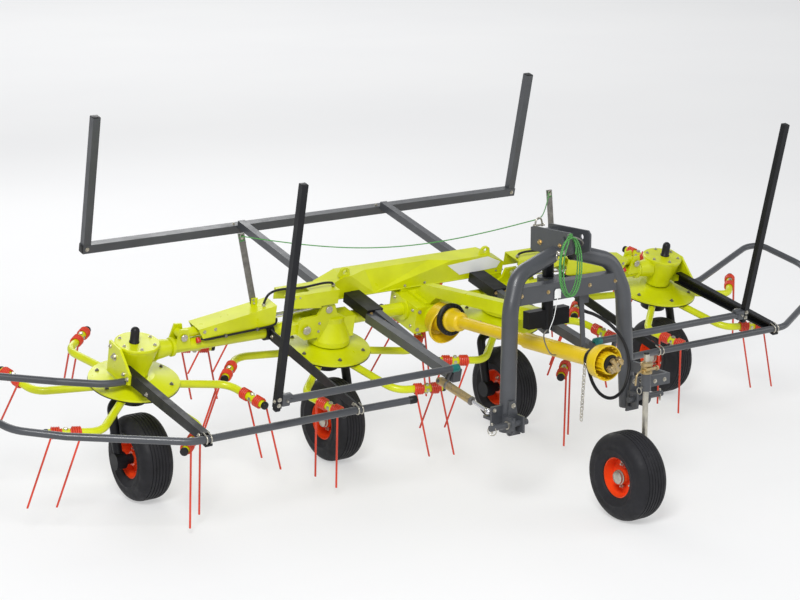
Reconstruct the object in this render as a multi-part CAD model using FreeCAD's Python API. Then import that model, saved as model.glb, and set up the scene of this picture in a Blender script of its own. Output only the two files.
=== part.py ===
"""A four-rotor mounted hay tedder, parked on its wheels and its front wheel.

The part stands on the floor, Z up, X to the machine's left, -Y forward. Lengths are millimetres.
Main frame and rotors pitch forward about the rotor row, so their pieces are drawn in a level
frame (x, v, w), where v runs back and w up along the rotor shafts, and are then tilted into place.
"""
import FreeCAD
import Part
import math
import os

V = FreeCAD.Vector

# driving dimensions -----------------------------------------------------------------------
PITCH = 13.3            # forward lean of frame and rotors, degrees
ROW_Y = 359.6           # rotor row ahead of the part's centre
DISC_Z = 567.0          # height of the rotor discs at the row
ROTOR_SPACING = 1056.0
CLEAR = 0.3             # gap between pieces that seat on each other
FIT = 0.06              # radial gap at a running shaft

TYRE_R = 203.0
TYRE_HALF = 82.5
TYRE_SHOULDER = 45.0
RIM_R = 105.0
RIM_HALF = 70.0
AXLE_R = 12.5
WHEEL_BACK = -42.0      # rotor wheels ahead of the row
TYRE_ROOM = 161.0       # from the top of a tyre up to the disc plane at the row
AXLE_Z = DISC_Z - TYRE_R - TYRE_ROOM
FLOOR_Z = AXLE_Z - TYRE_R
LEG_REACH = 112.0       # wheel legs beside their wheels
LEG_R = 22.0
WHEEL_SIDES = (-1, 1, -1, 1)    # side of each rotor wheel on which its leg stands

INNER_X = ROTOR_SPACING / 2
OUTER_X = 1.5 * ROTOR_SPACING

DISC_R = 212.0
DISC_RIM = 8.0
DISC_CONE = 26.0
HUB_R = 62.0
SPINDLE_R = 28.0
HUB_LOW = -66.0
CLUSTER_R = 549.0       # radius of the spring coils
CLUSTER_W = -47.0       # their height under the disc plane
ARM_R = 18.5
ARM_BEND = 62.0
ARM_OUT = 455.0
COIL_R = 29.0
COIL_LEN = 56.0
COIL_GAP = 34.0
TINE_R = 5.0
TINE_LEN = 350.0
TINE_SPLAY = 10.0
TINE_TRAIL = 16.0
ARMS = 6

BOX_LOW = 34.0          # underside of a gearbox above the disc plane
BOX_R_LOW = 105.0
BOX_R_TOP = 66.0
BOWL_TOP = 190.0        # outer gearboxes: a bowl, wide at its flat top
BOWL_R = 100.0
BOWL_R_LOW = 62.0
NECK_X = OUTER_X - 163  # slim end of the neck on a wing tube
NECK_R = 50.0
TUBE_W = 136.0          # height of the drive tube and of the fold hinges
TUBE_R = 33.0
GEAR_HALF = 105.0       # half width of the centre gearbox
GEAR_TOP = 190.0
FOLD_X = INNER_X + 172  # fold hinges from the centre
PIN_R = 14.0
BLOCK_IN = 108.0
BLOCK_V = 49.0
BLOCK_TOP = 172.0
KNUCKLE_R = 38.0
KNUCKLE_HALF = 35.0
EAR = 14.0
SIDE_PLATE_X = 106.0    # side plate of an outer gearbox from its rotor's centre
SIDE_PLATE_T = 12.0

BEAM_V = (66.0, 168.0)
BEAM_W = (206.0, 325.0)
BEAM_END_W = 275.0
BEAM_HALF = INNER_X + 17
BEAM_FLAT = BEAM_HALF - 113
SHEET = 6.0
EYE_X = 425.0           # lifting eyes on the beam
EYE_V = 82.0
EYE_R = 13.0
DENT = ((-241, 66, 212), (-395, 66, 325), (216, 66, 325), (-287, 108, 325), (100, 110, 325))

LIFT_EYE = (FOLD_X + 665, TUBE_W + TUBE_R + 28)     # wing end of a lift cylinder, x and w
LIFT_BASE = (FOLD_X - 120, 225.0)       # centre end
LIFT_PIN_R = 12.0
BARREL_R = 23.0
BARREL_LEN = 450.0
LIFT_ROD_R = 14.0
COVER = ((LIFT_EYE[0] - 69, 230.0), (LIFT_EYE[0] - 98, 179.0), (LIFT_EYE[0] - 485, 193.0),
         (LIFT_EYE[0] - 485, 292.0))
COVER_HALF = 50.0
COVER_SHEET = 4.0
HOOD_TOP = 331.0
HOOD_X = (LIFT_BASE[0] - 40, LIFT_BASE[0] + 255)
HOOD_HALF = 60.0
HOOD_SLOT = (145.0, 30.0)       # length and half width of the lever's slot
LEVER_FOOT = {-1: (LIFT_EYE[0] - 395, 283.0), 1: (HOOD_X[1] - 20, HOOD_TOP)}    # x and w by side
LEVER_TOP = {-1: (LEVER_FOOT[-1][0] + 111, 662.0), 1: (LEVER_FOOT[1][0] - 90, 669.0)}
LEVER_V = 18.0
LEVER = (33.0, 6.0)

REAR_X = 1328.0
REAR_V = 1050.0
REAR_W = 170.0
REAR_TUBE = 45.0
REAR_POST = 40.0
REAR_RISE = 699.0
REAR_ARM_X = 446.0
REAR_ARM = 40.0
REAR_WALL = 4.0

GUARD_R = 17.0
POST_X = 1366.0
POST_V = -870.0
POST_W = 286.0
POST_RISE = 1012.0
POST_WIDE = 30.0
LOWER_V = -819.0
LOWER_W = 131.0
LOWER_IN = (FOLD_X - 72, -880.0, 168.0)
INNER_BRACKET_X = FOLD_X + 189
SUPPORT_X = 410.0
SUPPORT = 44.0
SUPPORT_W = (204.0, 240.0)      # height of a support arm at its root and at its tip
BRACKET_X = (335.0, 425.0)      # brackets under the ends of the beam
BRACKET_V = (-150.0, 62.0)
BRACKET_W = (192.0, 242.0)

SWIVEL_Y = -1050.0      # headstock pivot from the row
MAST_R = 27.0
MAST_FOOT = (800.0, 812.0, 892.0, 30.0)         # bottom of the mast; bottom, top and back of its block
LINK_HALF = 28.0
LINK_V = (-108.0, 50.0)
PLATE_X = 50.0
PLATE_T = 10.0
ARCH_R = 37.0
ARCH_TOP_Y = SWIVEL_Y - 100
LEG_X = 351.0
LEG_Y = SWIVEL_Y - 166
LEG_LOW = 410.0
ARCH = ((326.0, SWIVEL_Y - 146, 960.0), (270.0, SWIVEL_Y - 122, 1108.0))
ARCH_TOP_Z = 1176.0
BEAM_Y = (SWIVEL_Y - 156, SWIVEL_Y - 96)        # cross beam of the headstock
BEAM_Z = (975.0, 1056.0)
FOOT_Y = SWIVEL_Y - 237
FOOT_Z = 465.0
FOOT_PIN_R = 14.0
FOOT_PIN_X = (296.0, 404.0, 500.0)      # inner end, flange and outer end of a lower link pin
TOP_Y = SWIVEL_Y - 181
TOP_Z = 1256.0
TOP_BORE_R = 12.9
JACK_X = 215.0
JACK_Y = SWIVEL_Y - 450
JACK_R = 13.0
GUIDE_Z = (575.0, 655.0)
STAND_X = 97.0
STAND_Y = JACK_Y - 26

DAMPER_ROOT = (485.0, -890.0, 590.0)
DAMPER_FOOT = (420.0, SWIVEL_Y - 120, 500.0)
DAMPER_PIN_R = 8.0
DAMPER_BALL = 16.0
DAMPER_BODY = 0.66      # share of a damper's length that is barrel
DAMPER_R = 19.0
DAMPER_ROD_R = 9.0

PTO_REAR = (0.0, -204.0, 680.0)
PTO_FRONT = (0.0, SWIVEL_Y - 438, 733.0)
PTO_INNER_R = 29.0
PTO_OUTER_R = 37.0
YOKE_SHAFT_R = 20.0
JOINT_R = 34.0

BUNDLE = (-85.0, SWIVEL_Y - 260.3, 1150.0)      # middle of the hanging bundle of pull cord
BUNDLE_SIZE = (72.0, 150.0, 22.0)       # half width, half height and thickness of its strand
HOSE_R = 8.0
HOSE_LOOP = [(130, -1119, 923.6), (131, -1120, 897), (150, -1133, 876), (192, -1160, 862),
             (246, -1206, 818), (281, -1247, 760), (297, -1276, 694), (292, -1296, 628),
             (268, -1310, 567), (224, -1322, 519), (163, -1326, 500),
             (110, -1314, 523), (82, -1288, 574), (82, -1258, 630), (94, -1224, 676), (104, -1200, 722)]
LIFT_HOSE = [(938, -24, 300), (930, -24, 334), (901, -24, 356), (850, -24, 362), (790, -26, 356),
             (730, -26, 352), (670, -25, 357), (612, -24, 360), (574, -24, 357), (558, -24, 350),
             (556, -24, HOOD_TOP + 1)]


# helpers ----------------------------------------------------------------------------------
def box(x0, x1, y0, y1, z0, z1):
    """A block between two corners, given in any order."""
    low = V(min(x0, x1), min(y0, y1), min(z0, z1))
    return Part.makeBox(abs(x1 - x0), abs(y1 - y0), abs(z1 - z0), low)


def rod(start, end, radius):
    """A round bar between two points."""
    start, end = V(*start), V(*end)
    return Part.makeCylinder(radius, (end - start).Length, start, end - start)


def fuse(*shapes):
    """One solid from pieces that meet."""
    body = shapes[0].fuse(list(shapes[1:])) if len(shapes) > 1 else shapes[0]
    return body.removeSplitter()


def path(points, radii):
    """A wire of straight runs joined by tangent arcs, one radius for each inner point."""
    points = [V(*p) for p in points]
    edges, here = [], points[0]
    for index in range(1, len(points) - 1):
        corner = points[index]
        back = (points[index - 1] - corner).normalize()
        ahead = (points[index + 1] - corner).normalize()
        half = back.getAngle(ahead) / 2
        reach = radii[index - 1] / math.tan(half)
        first, last = corner + back * reach, corner + ahead * reach
        middle = (back + ahead).normalize()
        depth = radii[index - 1] / math.sin(half) - radii[index - 1]
        edges.append(Part.LineSegment(here, first).toShape())
        edges.append(Part.Arc(first, corner + middle * depth, last).toShape())
        here = last
    edges.append(Part.LineSegment(here, points[-1]).toShape())
    return Part.Wire(edges)


def swept(points, radii, radius):
    """A round bar bent along a path."""
    wire = path(points, radii)
    start, ahead = V(*points[0]), V(*points[1]) - V(*points[0])
    section = Part.Wire(Part.Circle(start, ahead, radius).toShape())
    return wire.makePipeShell([section], True, False)


def smooth(points, wish):
    """Bend radii for a path: the wished one, or what the shorter run beside a corner leaves."""
    points = [V(*p) for p in points]
    radii = []
    for before, corner, after in zip(points, points[1:], points[2:]):
        back, ahead = before - corner, after - corner
        most = 0.45 * min(back.Length, ahead.Length) * math.tan(back.getAngle(ahead) / 2)
        radii.append(min(wish, most))
    return radii


def plate(outline, axis, at, thick):
    """A flat plate whose outline lies across an axis: 'x' takes (y, z) points, 'y' takes (x, z)."""
    if axis == "x":
        corners = [V(at - thick / 2, a, b) for a, b in outline]
        run = V(thick, 0, 0)
    elif axis == "y":
        corners = [V(a, at - thick / 2, b) for a, b in outline]
        run = V(0, thick, 0)
    else:
        corners = [V(a, b, at - thick / 2) for a, b in outline]
        run = V(0, 0, thick)
    return Part.Face(Part.makePolygon(corners + corners[:1])).extrude(run)


def turned(profile, centre, axis=(0, 0, 1)):
    """A solid of revolution about Z from (radius, height) points, then laid along an axis."""
    corners = [V(r, 0, h) for r, h in profile]
    body = Part.Face(Part.makePolygon(corners + corners[:1])).revolve(V(0, 0, 0), V(0, 0, 1), 360)
    body.Placement = FreeCAD.Placement(V(*centre), FreeCAD.Rotation(V(0, 0, 1), V(*axis)))
    return body


def tilt(shape):
    """From the level frame to the pitched frame about the rotor row."""
    shape = shape.copy()
    shape.rotate(V(0, 0, 0), V(1, 0, 0), PITCH)
    shape.translate(V(0, 0, DISC_Z))
    return shape


def level(point):
    """A world point at the row, (x, y, z), as level-frame coordinates (x, v, w)."""
    x, y, z = point
    angle = math.radians(PITCH)
    up = z - DISC_Z
    return (x, y * math.cos(angle) + up * math.sin(angle), up * math.cos(angle) - y * math.sin(angle))


def save(name, *shapes):
    """Write one node, moved so that the part's own centre is the origin."""
    shape = shapes[0] if len(shapes) == 1 else Part.makeCompound(list(shapes))
    shape = shape.copy()
    shape.translate(V(0, ROW_Y, -FLOOR_Z))
    shape.exportStep("parts/%s.step" % name)
    print(name, len(shape.Solids), "solids", round(shape.Volume / 1e6, 2), "litres", shape.isValid())


# wheels -----------------------------------------------------------------------------------
def tyre(x, y, r=TYRE_R):
    """A balloon tyre with rounded shoulders."""
    half, shoulder = TYRE_HALF, TYRE_SHOULDER
    bead = RIM_R - 6
    seat = RIM_HALF - 8
    outer = [
        Part.LineSegment(V(bead, 0, -seat), V(r - shoulder, 0, -half)).toShape(),
        Part.Arc(V(r - shoulder, 0, -half),
                 V(r - shoulder * (1 - math.sqrt(0.5)), 0, -half + shoulder * (1 - math.sqrt(0.5))),
                 V(r, 0, -half + shoulder)).toShape(),
        Part.LineSegment(V(r, 0, -half + shoulder), V(r, 0, half - shoulder)).toShape(),
        Part.Arc(V(r, 0, half - shoulder),
                 V(r - shoulder * (1 - math.sqrt(0.5)), 0, half - shoulder * (1 - math.sqrt(0.5))),
                 V(r - shoulder, 0, half)).toShape(),
        Part.LineSegment(V(r - shoulder, 0, half), V(bead, 0, seat)).toShape(),
        Part.LineSegment(V(bead, 0, seat), V(bead, 0, -seat)).toShape(),
    ]
    body = Part.Face(Part.Wire(outer)).revolve(V(0, 0, 0), V(0, 0, 1), 360)
    body.Placement = FreeCAD.Placement(V(x, y, AXLE_Z), FreeCAD.Rotation(V(0, 0, 1), V(1, 0, 0)))
    return body


def rim(x, y, side):
    """A dished rim with its hub; side is the side of the stub axle."""
    lip = RIM_R - 6 - CLEAR
    profile = [(AXLE_R + FIT, -46), (34, -46), (34, -8), (lip - 10, -8), (lip - 10, -RIM_HALF + 10),
               (lip, -RIM_HALF + 10), (lip, RIM_HALF - 10), (lip - 10, RIM_HALF - 10),
               (lip - 10, 2), (34, 2), (34, 40), (AXLE_R + FIT, 40)]
    profile = [(r, h * -side) for r, h in profile]
    return turned(profile, (x, y, AXLE_Z), (1, 0, 0))


def stub_axle(x, y, side, reach):
    """The pin that carries a wheel, with a nut on its free end."""
    inner = (x - side * 52, y, AXLE_Z)
    shoulder = (x + side * (46 + CLEAR), y, AXLE_Z)
    nut = rod(inner, (x - side * (40 + CLEAR), y, AXLE_Z), 20)
    return fuse(rod(inner, (x + side * reach, y, AXLE_Z), AXLE_R), nut,
                rod(shoulder, (x + side * reach, y, AXLE_Z), 24))


# rotors -----------------------------------------------------------------------------------
def rotor_hub(x):
    """The dished disc on its turning hub."""
    profile = [(SPINDLE_R + FIT, HUB_LOW), (HUB_R, HUB_LOW), (HUB_R, -34), (96, -30),
               (DISC_R - 12, -DISC_RIM - 6), (DISC_R, -DISC_RIM - 4), (DISC_R, 0), (92, DISC_CONE),
               (SPINDLE_R + FIT, DISC_CONE)]
    return turned(profile, (x, 0, 0))


def arm_points(angle, trail):
    """The bent centre line of one arm, from the hub to the end of its coils."""
    ang = math.radians(angle)
    out = V(math.cos(ang), math.sin(ang), 0)
    turn = math.radians(ARM_BEND) * trail
    end = V(math.cos(ang + turn), math.sin(ang + turn), 0)
    coils = COIL_LEN * 2 + COIL_GAP
    corner = out * ARM_OUT
    reach = CLUSTER_MID
    stop = corner + end * (reach + coils / 2 + 6)
    return (out * (HUB_R - 4) + V(0, 0, -26)), corner + V(0, 0, CLUSTER_W), stop + V(0, 0, CLUSTER_W), end


CLUSTER_MID = (-ARM_OUT * math.cos(math.radians(ARM_BEND))
               + math.sqrt(CLUSTER_R ** 2 - (ARM_OUT * math.sin(math.radians(ARM_BEND))) ** 2))
CLUSTER_TURN = math.degrees(math.asin(CLUSTER_MID * math.sin(math.radians(ARM_BEND)) / CLUSTER_R))


def rotor_arms(x, phase, trail):
    """Six bent arm tubes on the hub and disc, as one welded solid."""
    pieces = [rotor_hub(x)]
    for count in range(ARMS):
        angle = phase - trail * CLUSTER_TURN + count * 360.0 / ARMS
        start, corner, stop, _ = arm_points(angle, trail)
        arm = swept([tuple(start), tuple(corner), tuple(stop)], [95.0], ARM_R)
        arm.translate(V(x, 0, 0))
        pieces.append(arm)
    bore = rod((x, 0, HUB_LOW - 1), (x, 0, DISC_CONE + 1), SPINDLE_R + FIT)
    return fuse(*pieces).cut(bore)


def tines(x, phase, trail):
    """Twelve spring tines in six pairs, each coil round its arm."""
    solids = []
    for count in range(ARMS):
        angle = phase - trail * CLUSTER_TURN + count * 360.0 / ARMS
        _, corner, _, end = arm_points(angle, trail)
        middle = corner + end * CLUSTER_MID
        aside = V(end.y, -end.x, 0) * trail
        for which in (-1, 1):
            near = middle + end * which * (COIL_GAP / 2)
            far = middle + end * which * (COIL_GAP / 2 + COIL_LEN)
            coil = rod(tuple(near), tuple(far), COIL_R).cut(rod(tuple(near), tuple(far), ARM_R + CLEAR))
            root = (middle + end * which * (COIL_GAP / 2 + COIL_LEN - 8)
                    + aside * (ARM_R + CLEAR + COIL_R) / 2)
            down = (V(0, 0, -1) + aside * math.tan(math.radians(TINE_SPLAY))
                    + end * math.tan(math.radians(TINE_TRAIL)))
            tip = root + down.normalize() * TINE_LEN
            piece = fuse(coil, rod(tuple(root), tuple(tip), TINE_R))
            piece.translate(V(x, 0, 0))
            solids.append(piece)
    return solids


# gearboxes and legs -----------------------------------------------------------------------
def cone_box(x, top):
    """The cast bell over a rotor."""
    profile = [(0, BOX_LOW), (BOX_R_LOW, BOX_LOW), (BOX_R_LOW, BOX_LOW + 24), (BOX_R_TOP, top - 26),
               (BOX_R_TOP, top), (0, top)]
    return turned(profile, (x, 0, 0))


def spindle(x):
    """The fixed shaft that hangs the leg from the gearbox through the rotor."""
    return rod((x, 0, HUB_LOW - 34), (x, 0, BOX_LOW - CLEAR), SPINDLE_R)


def wheel_leg(x, side):
    """The leg beside a wheel: block under the hub, bent leg and stub axle."""
    wheel_y = WHEEL_BACK
    reach = LEG_REACH + 16
    block = tilt(rod((x, 0, HUB_LOW - 42), (x, 0, HUB_LOW - 3), 66))
    shaft = tilt(spindle(x))
    leg_x = x + side * LEG_REACH
    top = tilt(rod((x, 0, HUB_LOW - 41), (x, 0, HUB_LOW - 40), 5)).BoundBox.Center
    leg = swept([(x + side * 20, top.y, top.z + 14), (leg_x, top.y - 4, top.z + 2),
                 (leg_x, wheel_y, AXLE_Z)], [44.0], LEG_R)
    hub = rod((leg_x - side * 26, wheel_y, AXLE_Z), (leg_x + side * 26, wheel_y, AXLE_Z), 40)
    axle = stub_axle(x, wheel_y, side, reach)
    return fuse(block, shaft, leg, hub, axle)


def inner_box(side):
    """Gearbox of an inner rotor with its hinge fork, whose cheeks also carry the lift cylinder."""
    x = side * INNER_X
    body = cone_box(x, BLOCK_TOP)
    block = box(x - side * BLOCK_IN, x + side * 96, -BLOCK_V, BLOCK_V, 60, BLOCK_TOP)
    shelf = box(x - 60, x + 60, 40, BEAM_V[1] - 18, 120, BLOCK_TOP)
    cheeks = []
    base, top = LIFT_BASE
    root = INNER_X - 48
    outline = [(root, 90), (FOLD_X, TUBE_W - 58), (FOLD_X + 42, TUBE_W - 26), (FOLD_X + 42, TUBE_W + 28),
               (FOLD_X + 20, TUBE_W + 60), (base + 60, TUBE_W + 64), (base + 36, top + 21),
               (base - 34, top + 21), (base - 50, TUBE_W + 64), (root, BLOCK_TOP)]
    for flank in (-1, 1):
        at = flank * (KNUCKLE_HALF + CLEAR + EAR / 2)
        cheeks.append(plate([(side * a, w) for a, w in outline], "y", at, EAR))
    hinge = rod((side * FOLD_X, -58, TUBE_W), (side * FOLD_X, 58, TUBE_W), PIN_R)
    return fuse(body, block, shelf, hinge, *cheeks)


def centre_box():
    """Centre gearbox with the drive tubes to the inner gearboxes."""
    boss_w = 140.0
    body = fuse(box(-GEAR_HALF, GEAR_HALF, -120, 110, 52, GEAR_TOP),
                rod((0, -150, boss_w), (0, -110, boss_w), 55))
    joint = V(*level(PTO_REAR))
    body = fuse(body, Part.makeSphere(JOINT_R, joint), rod((0, -140, boss_w), tuple(joint), 17))
    inner = INNER_X - BLOCK_IN - CLEAR
    for side in (-1, 1):
        body = fuse(body, rod((side * 90, 0, TUBE_W), (side * inner, 0, TUBE_W), TUBE_R))
    return fuse(body, mast_link())


def mast_link():
    """Arm from the top of the centre gearbox to the foot of the mast."""
    front, back = LINK_V
    flange = box(-LINK_HALF - 20, LINK_HALF + 20, front, back, GEAR_TOP - 1, GEAR_TOP + 14)
    foot = [level((0, SWIVEL_Y + MAST_FOOT[3] + CLEAR, z))[1:] for z in (MAST_FOOT[1] + 4, MAST_FOOT[2] - 12)]
    arm = plate([(back - 20, GEAR_TOP + 8), (front, GEAR_TOP + 8), (front - 45, GEAR_TOP + 62), *foot,
                 (front + 70, GEAR_TOP + 84)], "x", 0, 2 * LINK_HALF)
    return fuse(flange, arm)


def dent(inward):
    """What the pressed facets leave off the beam's front, or off its hollow when moved inward."""
    low, left, right, back_left, back_right = (V(x, v + inward, w - inward) for x, v, w in DENT)
    sides = [(low, left, right), (low, left, back_left), (low, back_left, back_right),
             (low, back_right, right), (left, right, back_right, back_left)]
    faces = [Part.Face(Part.makePolygon([*corners, corners[0]])) for corners in sides]
    return Part.Solid(Part.Shell(faces))


def main_beam():
    """The folded sheet beam over the inner rotors, open below, with two lifting eyes."""
    outline = [(-BEAM_HALF, BEAM_W[0]), (-BEAM_HALF, BEAM_END_W), (-BEAM_FLAT, BEAM_W[1]),
               (BEAM_FLAT, BEAM_W[1]), (BEAM_HALF, BEAM_END_W), (BEAM_HALF, BEAM_W[0])]
    middle = sum(BEAM_V) / 2
    wide = BEAM_V[1] - BEAM_V[0]
    body = plate(outline, "y", middle, wide).cut(dent(0))
    hollow = [(-BEAM_HALF + SHEET, BEAM_W[0] - 1), (-BEAM_HALF + SHEET, BEAM_END_W - SHEET),
              (-BEAM_FLAT, BEAM_W[1] - SHEET), (BEAM_FLAT, BEAM_W[1] - SHEET),
              (BEAM_HALF - SHEET, BEAM_END_W - SHEET), (BEAM_HALF - SHEET, BEAM_W[0] - 1)]
    body = body.cut(plate(hollow, "y", middle, wide - 2 * SHEET).cut(dent(SHEET)))
    feet = []
    for side in (-1, 1):
        feet.append(box(side * (INNER_X - 58), side * BEAM_HALF, BEAM_V[0], BEAM_V[1] - 20,
                        BLOCK_TOP + CLEAR, BEAM_W[0] + SHEET))
        low, top = BEAM_W[1] - 4, BEAM_W[1] + 42
        eye = plate([(side * EYE_X - 36, low), (side * EYE_X - 22, top - 8), (side * EYE_X - 10, top),
                     (side * EYE_X + 10, top), (side * EYE_X + 22, top - 8), (side * EYE_X + 36, low - 12)],
                    "y", EYE_V, 14)
        hole = rod((side * EYE_X, EYE_V - 20, top - 21), (side * EYE_X, EYE_V + 20, top - 21), EYE_R)
        feet.append(eye.cut(hole))
    bridge = box(-80, 80, BEAM_V[0], BEAM_V[1], GEAR_TOP + CLEAR, BEAM_W[0] + 10)
    return fuse(body, *feet, bridge)


def square_tube(x0, x1, y0, y1, z0, z1, along):
    """A square tube of the frame's wall, open at its ends; along names its long axis."""
    grow = [-REAR_WALL, -REAR_WALL, -REAR_WALL]
    grow["xyz".index(along)] = 1
    x0, x1, y0, y1, z0, z1 = min(x0, x1), max(x0, x1), y0, y1, z0, z1
    inner = box(x0 - grow[0], x1 + grow[0], y0 - grow[1], y1 + grow[1], z0 - grow[2], z1 + grow[2])
    return box(x0, x1, y0, y1, z0, z1).cut(inner)


def rear_frame():
    """Square tube frame behind the machine: bar, two uprights and two arms to the beam."""
    half, post, arm = REAR_TUBE / 2, REAR_POST / 2, REAR_ARM / 2
    pieces = [square_tube(-REAR_X - half, REAR_X + half, REAR_V - half, REAR_V + half,
                          REAR_W - half, REAR_W + half, "x")]
    back = BEAM_V[1] + CLEAR
    for side in (-1, 1):
        x = side * REAR_X
        pieces.append(square_tube(x - post, x + post, REAR_V - post, REAR_V + post,
                                  REAR_W + half - 1, REAR_W + REAR_RISE, "z"))
        x = side * REAR_ARM_X
        pieces.append(square_tube(x - arm, x + arm, back, REAR_V - half + 1,
                                  REAR_W + 10, REAR_W + 10 + REAR_ARM, "y"))
        pieces.append(box(x - 40, x + 40, back, back + 12, REAR_W + 5, BEAM_W[0] + 60))
    return fuse(*pieces)


def guard_bar(side):
    """Upper tube of the front guard on its square support arm, with the shorter arm beside it."""
    half = SUPPORT / 2
    front = BRACKET_V[0] - CLEAR
    x, low, high = side * SUPPORT_X, *SUPPORT_W
    bar = rod((side * (SUPPORT_X - 4), POST_V + 2, POST_W - 2),
              (side * (POST_X - POST_WIDE / 2 - CLEAR), POST_V, POST_W), GUARD_R)
    arm = plate([(front, low - half), (front, low + half), (POST_V - 12, high + half),
                 (POST_V - 12, high - half)], "x", x, SUPPORT)
    saddle = box(x - half, x + half, POST_V - 12, POST_V + 24, high, POST_W - 6)
    inner = plate([(front, low + 4), (front, low + 34), (-540, low + 24), (-560, low - 18)],
                  "x", x - side * (half + 22), 34)
    link = box(x - side * half, x - side * (half + 10), -520, -480, low - 4, low + 20)
    return fuse(bar, arm, saddle, inner, link)


def beam_bracket(side):
    """Black bracket under an end of the beam, which carries a support arm of the front guard."""
    inner, outer = BRACKET_X
    low, high = BRACKET_W
    front, back = BRACKET_V
    body = box(side * inner, side * outer, front, back, low, high)
    body = body.cut(box(side * (inner + SHEET), side * (outer - SHEET), front + SHEET, back + 1,
                        low - 1, high - SHEET))
    foot = box(side * inner, side * (outer - 40), back - 30, BEAM_V[0] - CLEAR, low, high)
    return fuse(body, foot)


def posts():
    """Two flat-sided bars that stand at the ends of the front guard."""
    solids = []
    for side in (-1, 1):
        x = side * POST_X
        half = POST_WIDE / 2
        solids.append(box(x - half, x + half, POST_V - half, POST_V + half, POST_W - 30, POST_W + POST_RISE))
    return solids


# wings ------------------------------------------------------------------------------------
def wing_arm(side):
    """Tube from the fold hinge to the outer gearbox, with knuckle and cylinder clevis."""
    outer = OUTER_X - 88
    body = rod((side * (FOLD_X + 60), 0, TUBE_W), (side * (outer - CLEAR), 0, TUBE_W), TUBE_R)
    knuckle = rod((side * FOLD_X, -KNUCKLE_HALF, TUBE_W), (side * FOLD_X, KNUCKLE_HALF, TUBE_W), KNUCKLE_R)
    neck = box(side * FOLD_X, side * (FOLD_X + 80), -KNUCKLE_HALF, KNUCKLE_HALF, TUBE_W - 27, TUBE_W + 27)
    eye_x, eye_w = LIFT_EYE
    ear = [(eye_x - 44, TUBE_W), (eye_x - 24, eye_w + 36), (eye_x + 16, eye_w + 40), (eye_x + 44, TUBE_W)]
    ears = [plate([(side * x, w) for x, w in ear], "y", flank * 33, 10) for flank in (-1, 1)]
    pin = rod((side * eye_x, -44, eye_w), (side * eye_x, 44, eye_w), LIFT_PIN_R)
    body = fuse(body, knuckle, neck, *ears, pin)
    return body.cut(rod((side * FOLD_X, -60, TUBE_W), (side * FOLD_X, 60, TUBE_W), PIN_R + FIT))


def outer_box(side):
    """Gearbox of an outer rotor: bowl, neck on the wing tube, and side plate for the guard."""
    x = side * OUTER_X
    reach = OUTER_X - 88
    profile = [(0, BOX_LOW), (BOWL_R_LOW, BOX_LOW), (BOWL_R_LOW + 4, BOX_LOW + 26), (BOWL_R, BOWL_TOP - 20),
               (BOWL_R, BOWL_TOP), (0, BOWL_TOP)]
    neck = turned([(0, 0), (TUBE_R + 6, 0), (NECK_R, reach - NECK_X), (0, reach + 40 - NECK_X)],
                  (side * NECK_X, 0, TUBE_W), (side, 0, 0))
    at = x + side * SIDE_PLATE_X
    side_plate = plate([(60, BOX_LOW), (60, BOWL_TOP), (-40, BOWL_TOP), (BRACKET_V[0], 110),
                        (BRACKET_V[0], 60), (-40, BOX_LOW)], "x", at, SIDE_PLATE_T)
    spacer = box(x + side * 50, at, -34, 34, 80, 160)
    body = fuse(turned(profile, (x, 0, 0)), neck, side_plate, spacer)
    return body.cut(rod((side * (NECK_X - 20), 0, TUBE_W), (side * reach, 0, TUBE_W), TUBE_R + CLEAR))


def wing_guard(side):
    """Tube loop round the outer rotor, from the side plate to its free inner end."""
    x = OUTER_X
    at = x + SIDE_PLATE_X + SIDE_PLATE_T / 2 + CLEAR
    loop = [LOWER_IN, (FOLD_X + 150, LOWER_V, LOWER_W), (x + 151, LOWER_V, LOWER_W), (x + 616, -545, 104),
            (x + 801, -410, 100), (x + 882, -177, 100), (x + 841, 100, 100), (x + 746, 120, 95),
            (x + 401, -15, 65), (x + 226, -92, 60), (x + 168, -112, 62), (at, -112, 62)]
    loop = [(side * x, v, w) for x, v, w in loop]
    return swept(loop, smooth(loop, 170.0), GUARD_R)


def wing_brackets(side):
    """Black channel from the side plate and flat bar from the wing tube, both to the guard tube."""
    back = LOWER_V + GUARD_R + CLEAR
    face = OUTER_X + SIDE_PLATE_X - SIDE_PLATE_T / 2 - CLEAR
    high = LOWER_W + 22
    middle, wide = side * (face - 18), 36.0
    channel = plate([(-62, 52), (-62, 112), (back, high), (back, LOWER_W - 22)], "x", middle, wide)
    channel = channel.cut(plate([(-61, 60), (-61, 104), (back + 8, high - 8), (back + 8, LOWER_W - 14)],
                                "x", middle - side * 6, wide - 4))
    lip = box(side * (face - 36), side * face, LOWER_V - 16, back + 8,
              LOWER_W - 28, LOWER_W - GUARD_R - CLEAR)
    x = side * INNER_BRACKET_X
    bar = plate([(-TUBE_R - 4, TUBE_W - 26), (-TUBE_R - 4, TUBE_W + 26), (back, LOWER_W + 20),
                 (back, LOWER_W - 20)], "x", x, 10)
    clamp = rod((x - 20, 0, TUBE_W), (x + 20, 0, TUBE_W), TUBE_R + 10)
    tube = rod((x - 21, 0, TUBE_W), (x + 21, 0, TUBE_W), TUBE_R + CLEAR)
    return fuse(channel, lip), fuse(bar, clamp).cut(tube)


# lift cylinders ---------------------------------------------------------------------------
def lift_line(side):
    """Wing eye, centre eye and the unit vector between them."""
    eye = V(side * LIFT_EYE[0], 0, LIFT_EYE[1])
    base = V(side * LIFT_BASE[0], 0, LIFT_BASE[1])
    return eye, base, (base - eye).normalize()


def lever_lug(side):
    """Upright lug to which a lock lever is bolted."""
    x, w = LEVER_FOOT[side]
    face = LEVER_V - LEVER[1] / 2 - CLEAR
    return box(side * (x - 16), side * (x + 16), face - 6, face, w - 12 if side < 0 else w - 2, w + 34)


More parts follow.
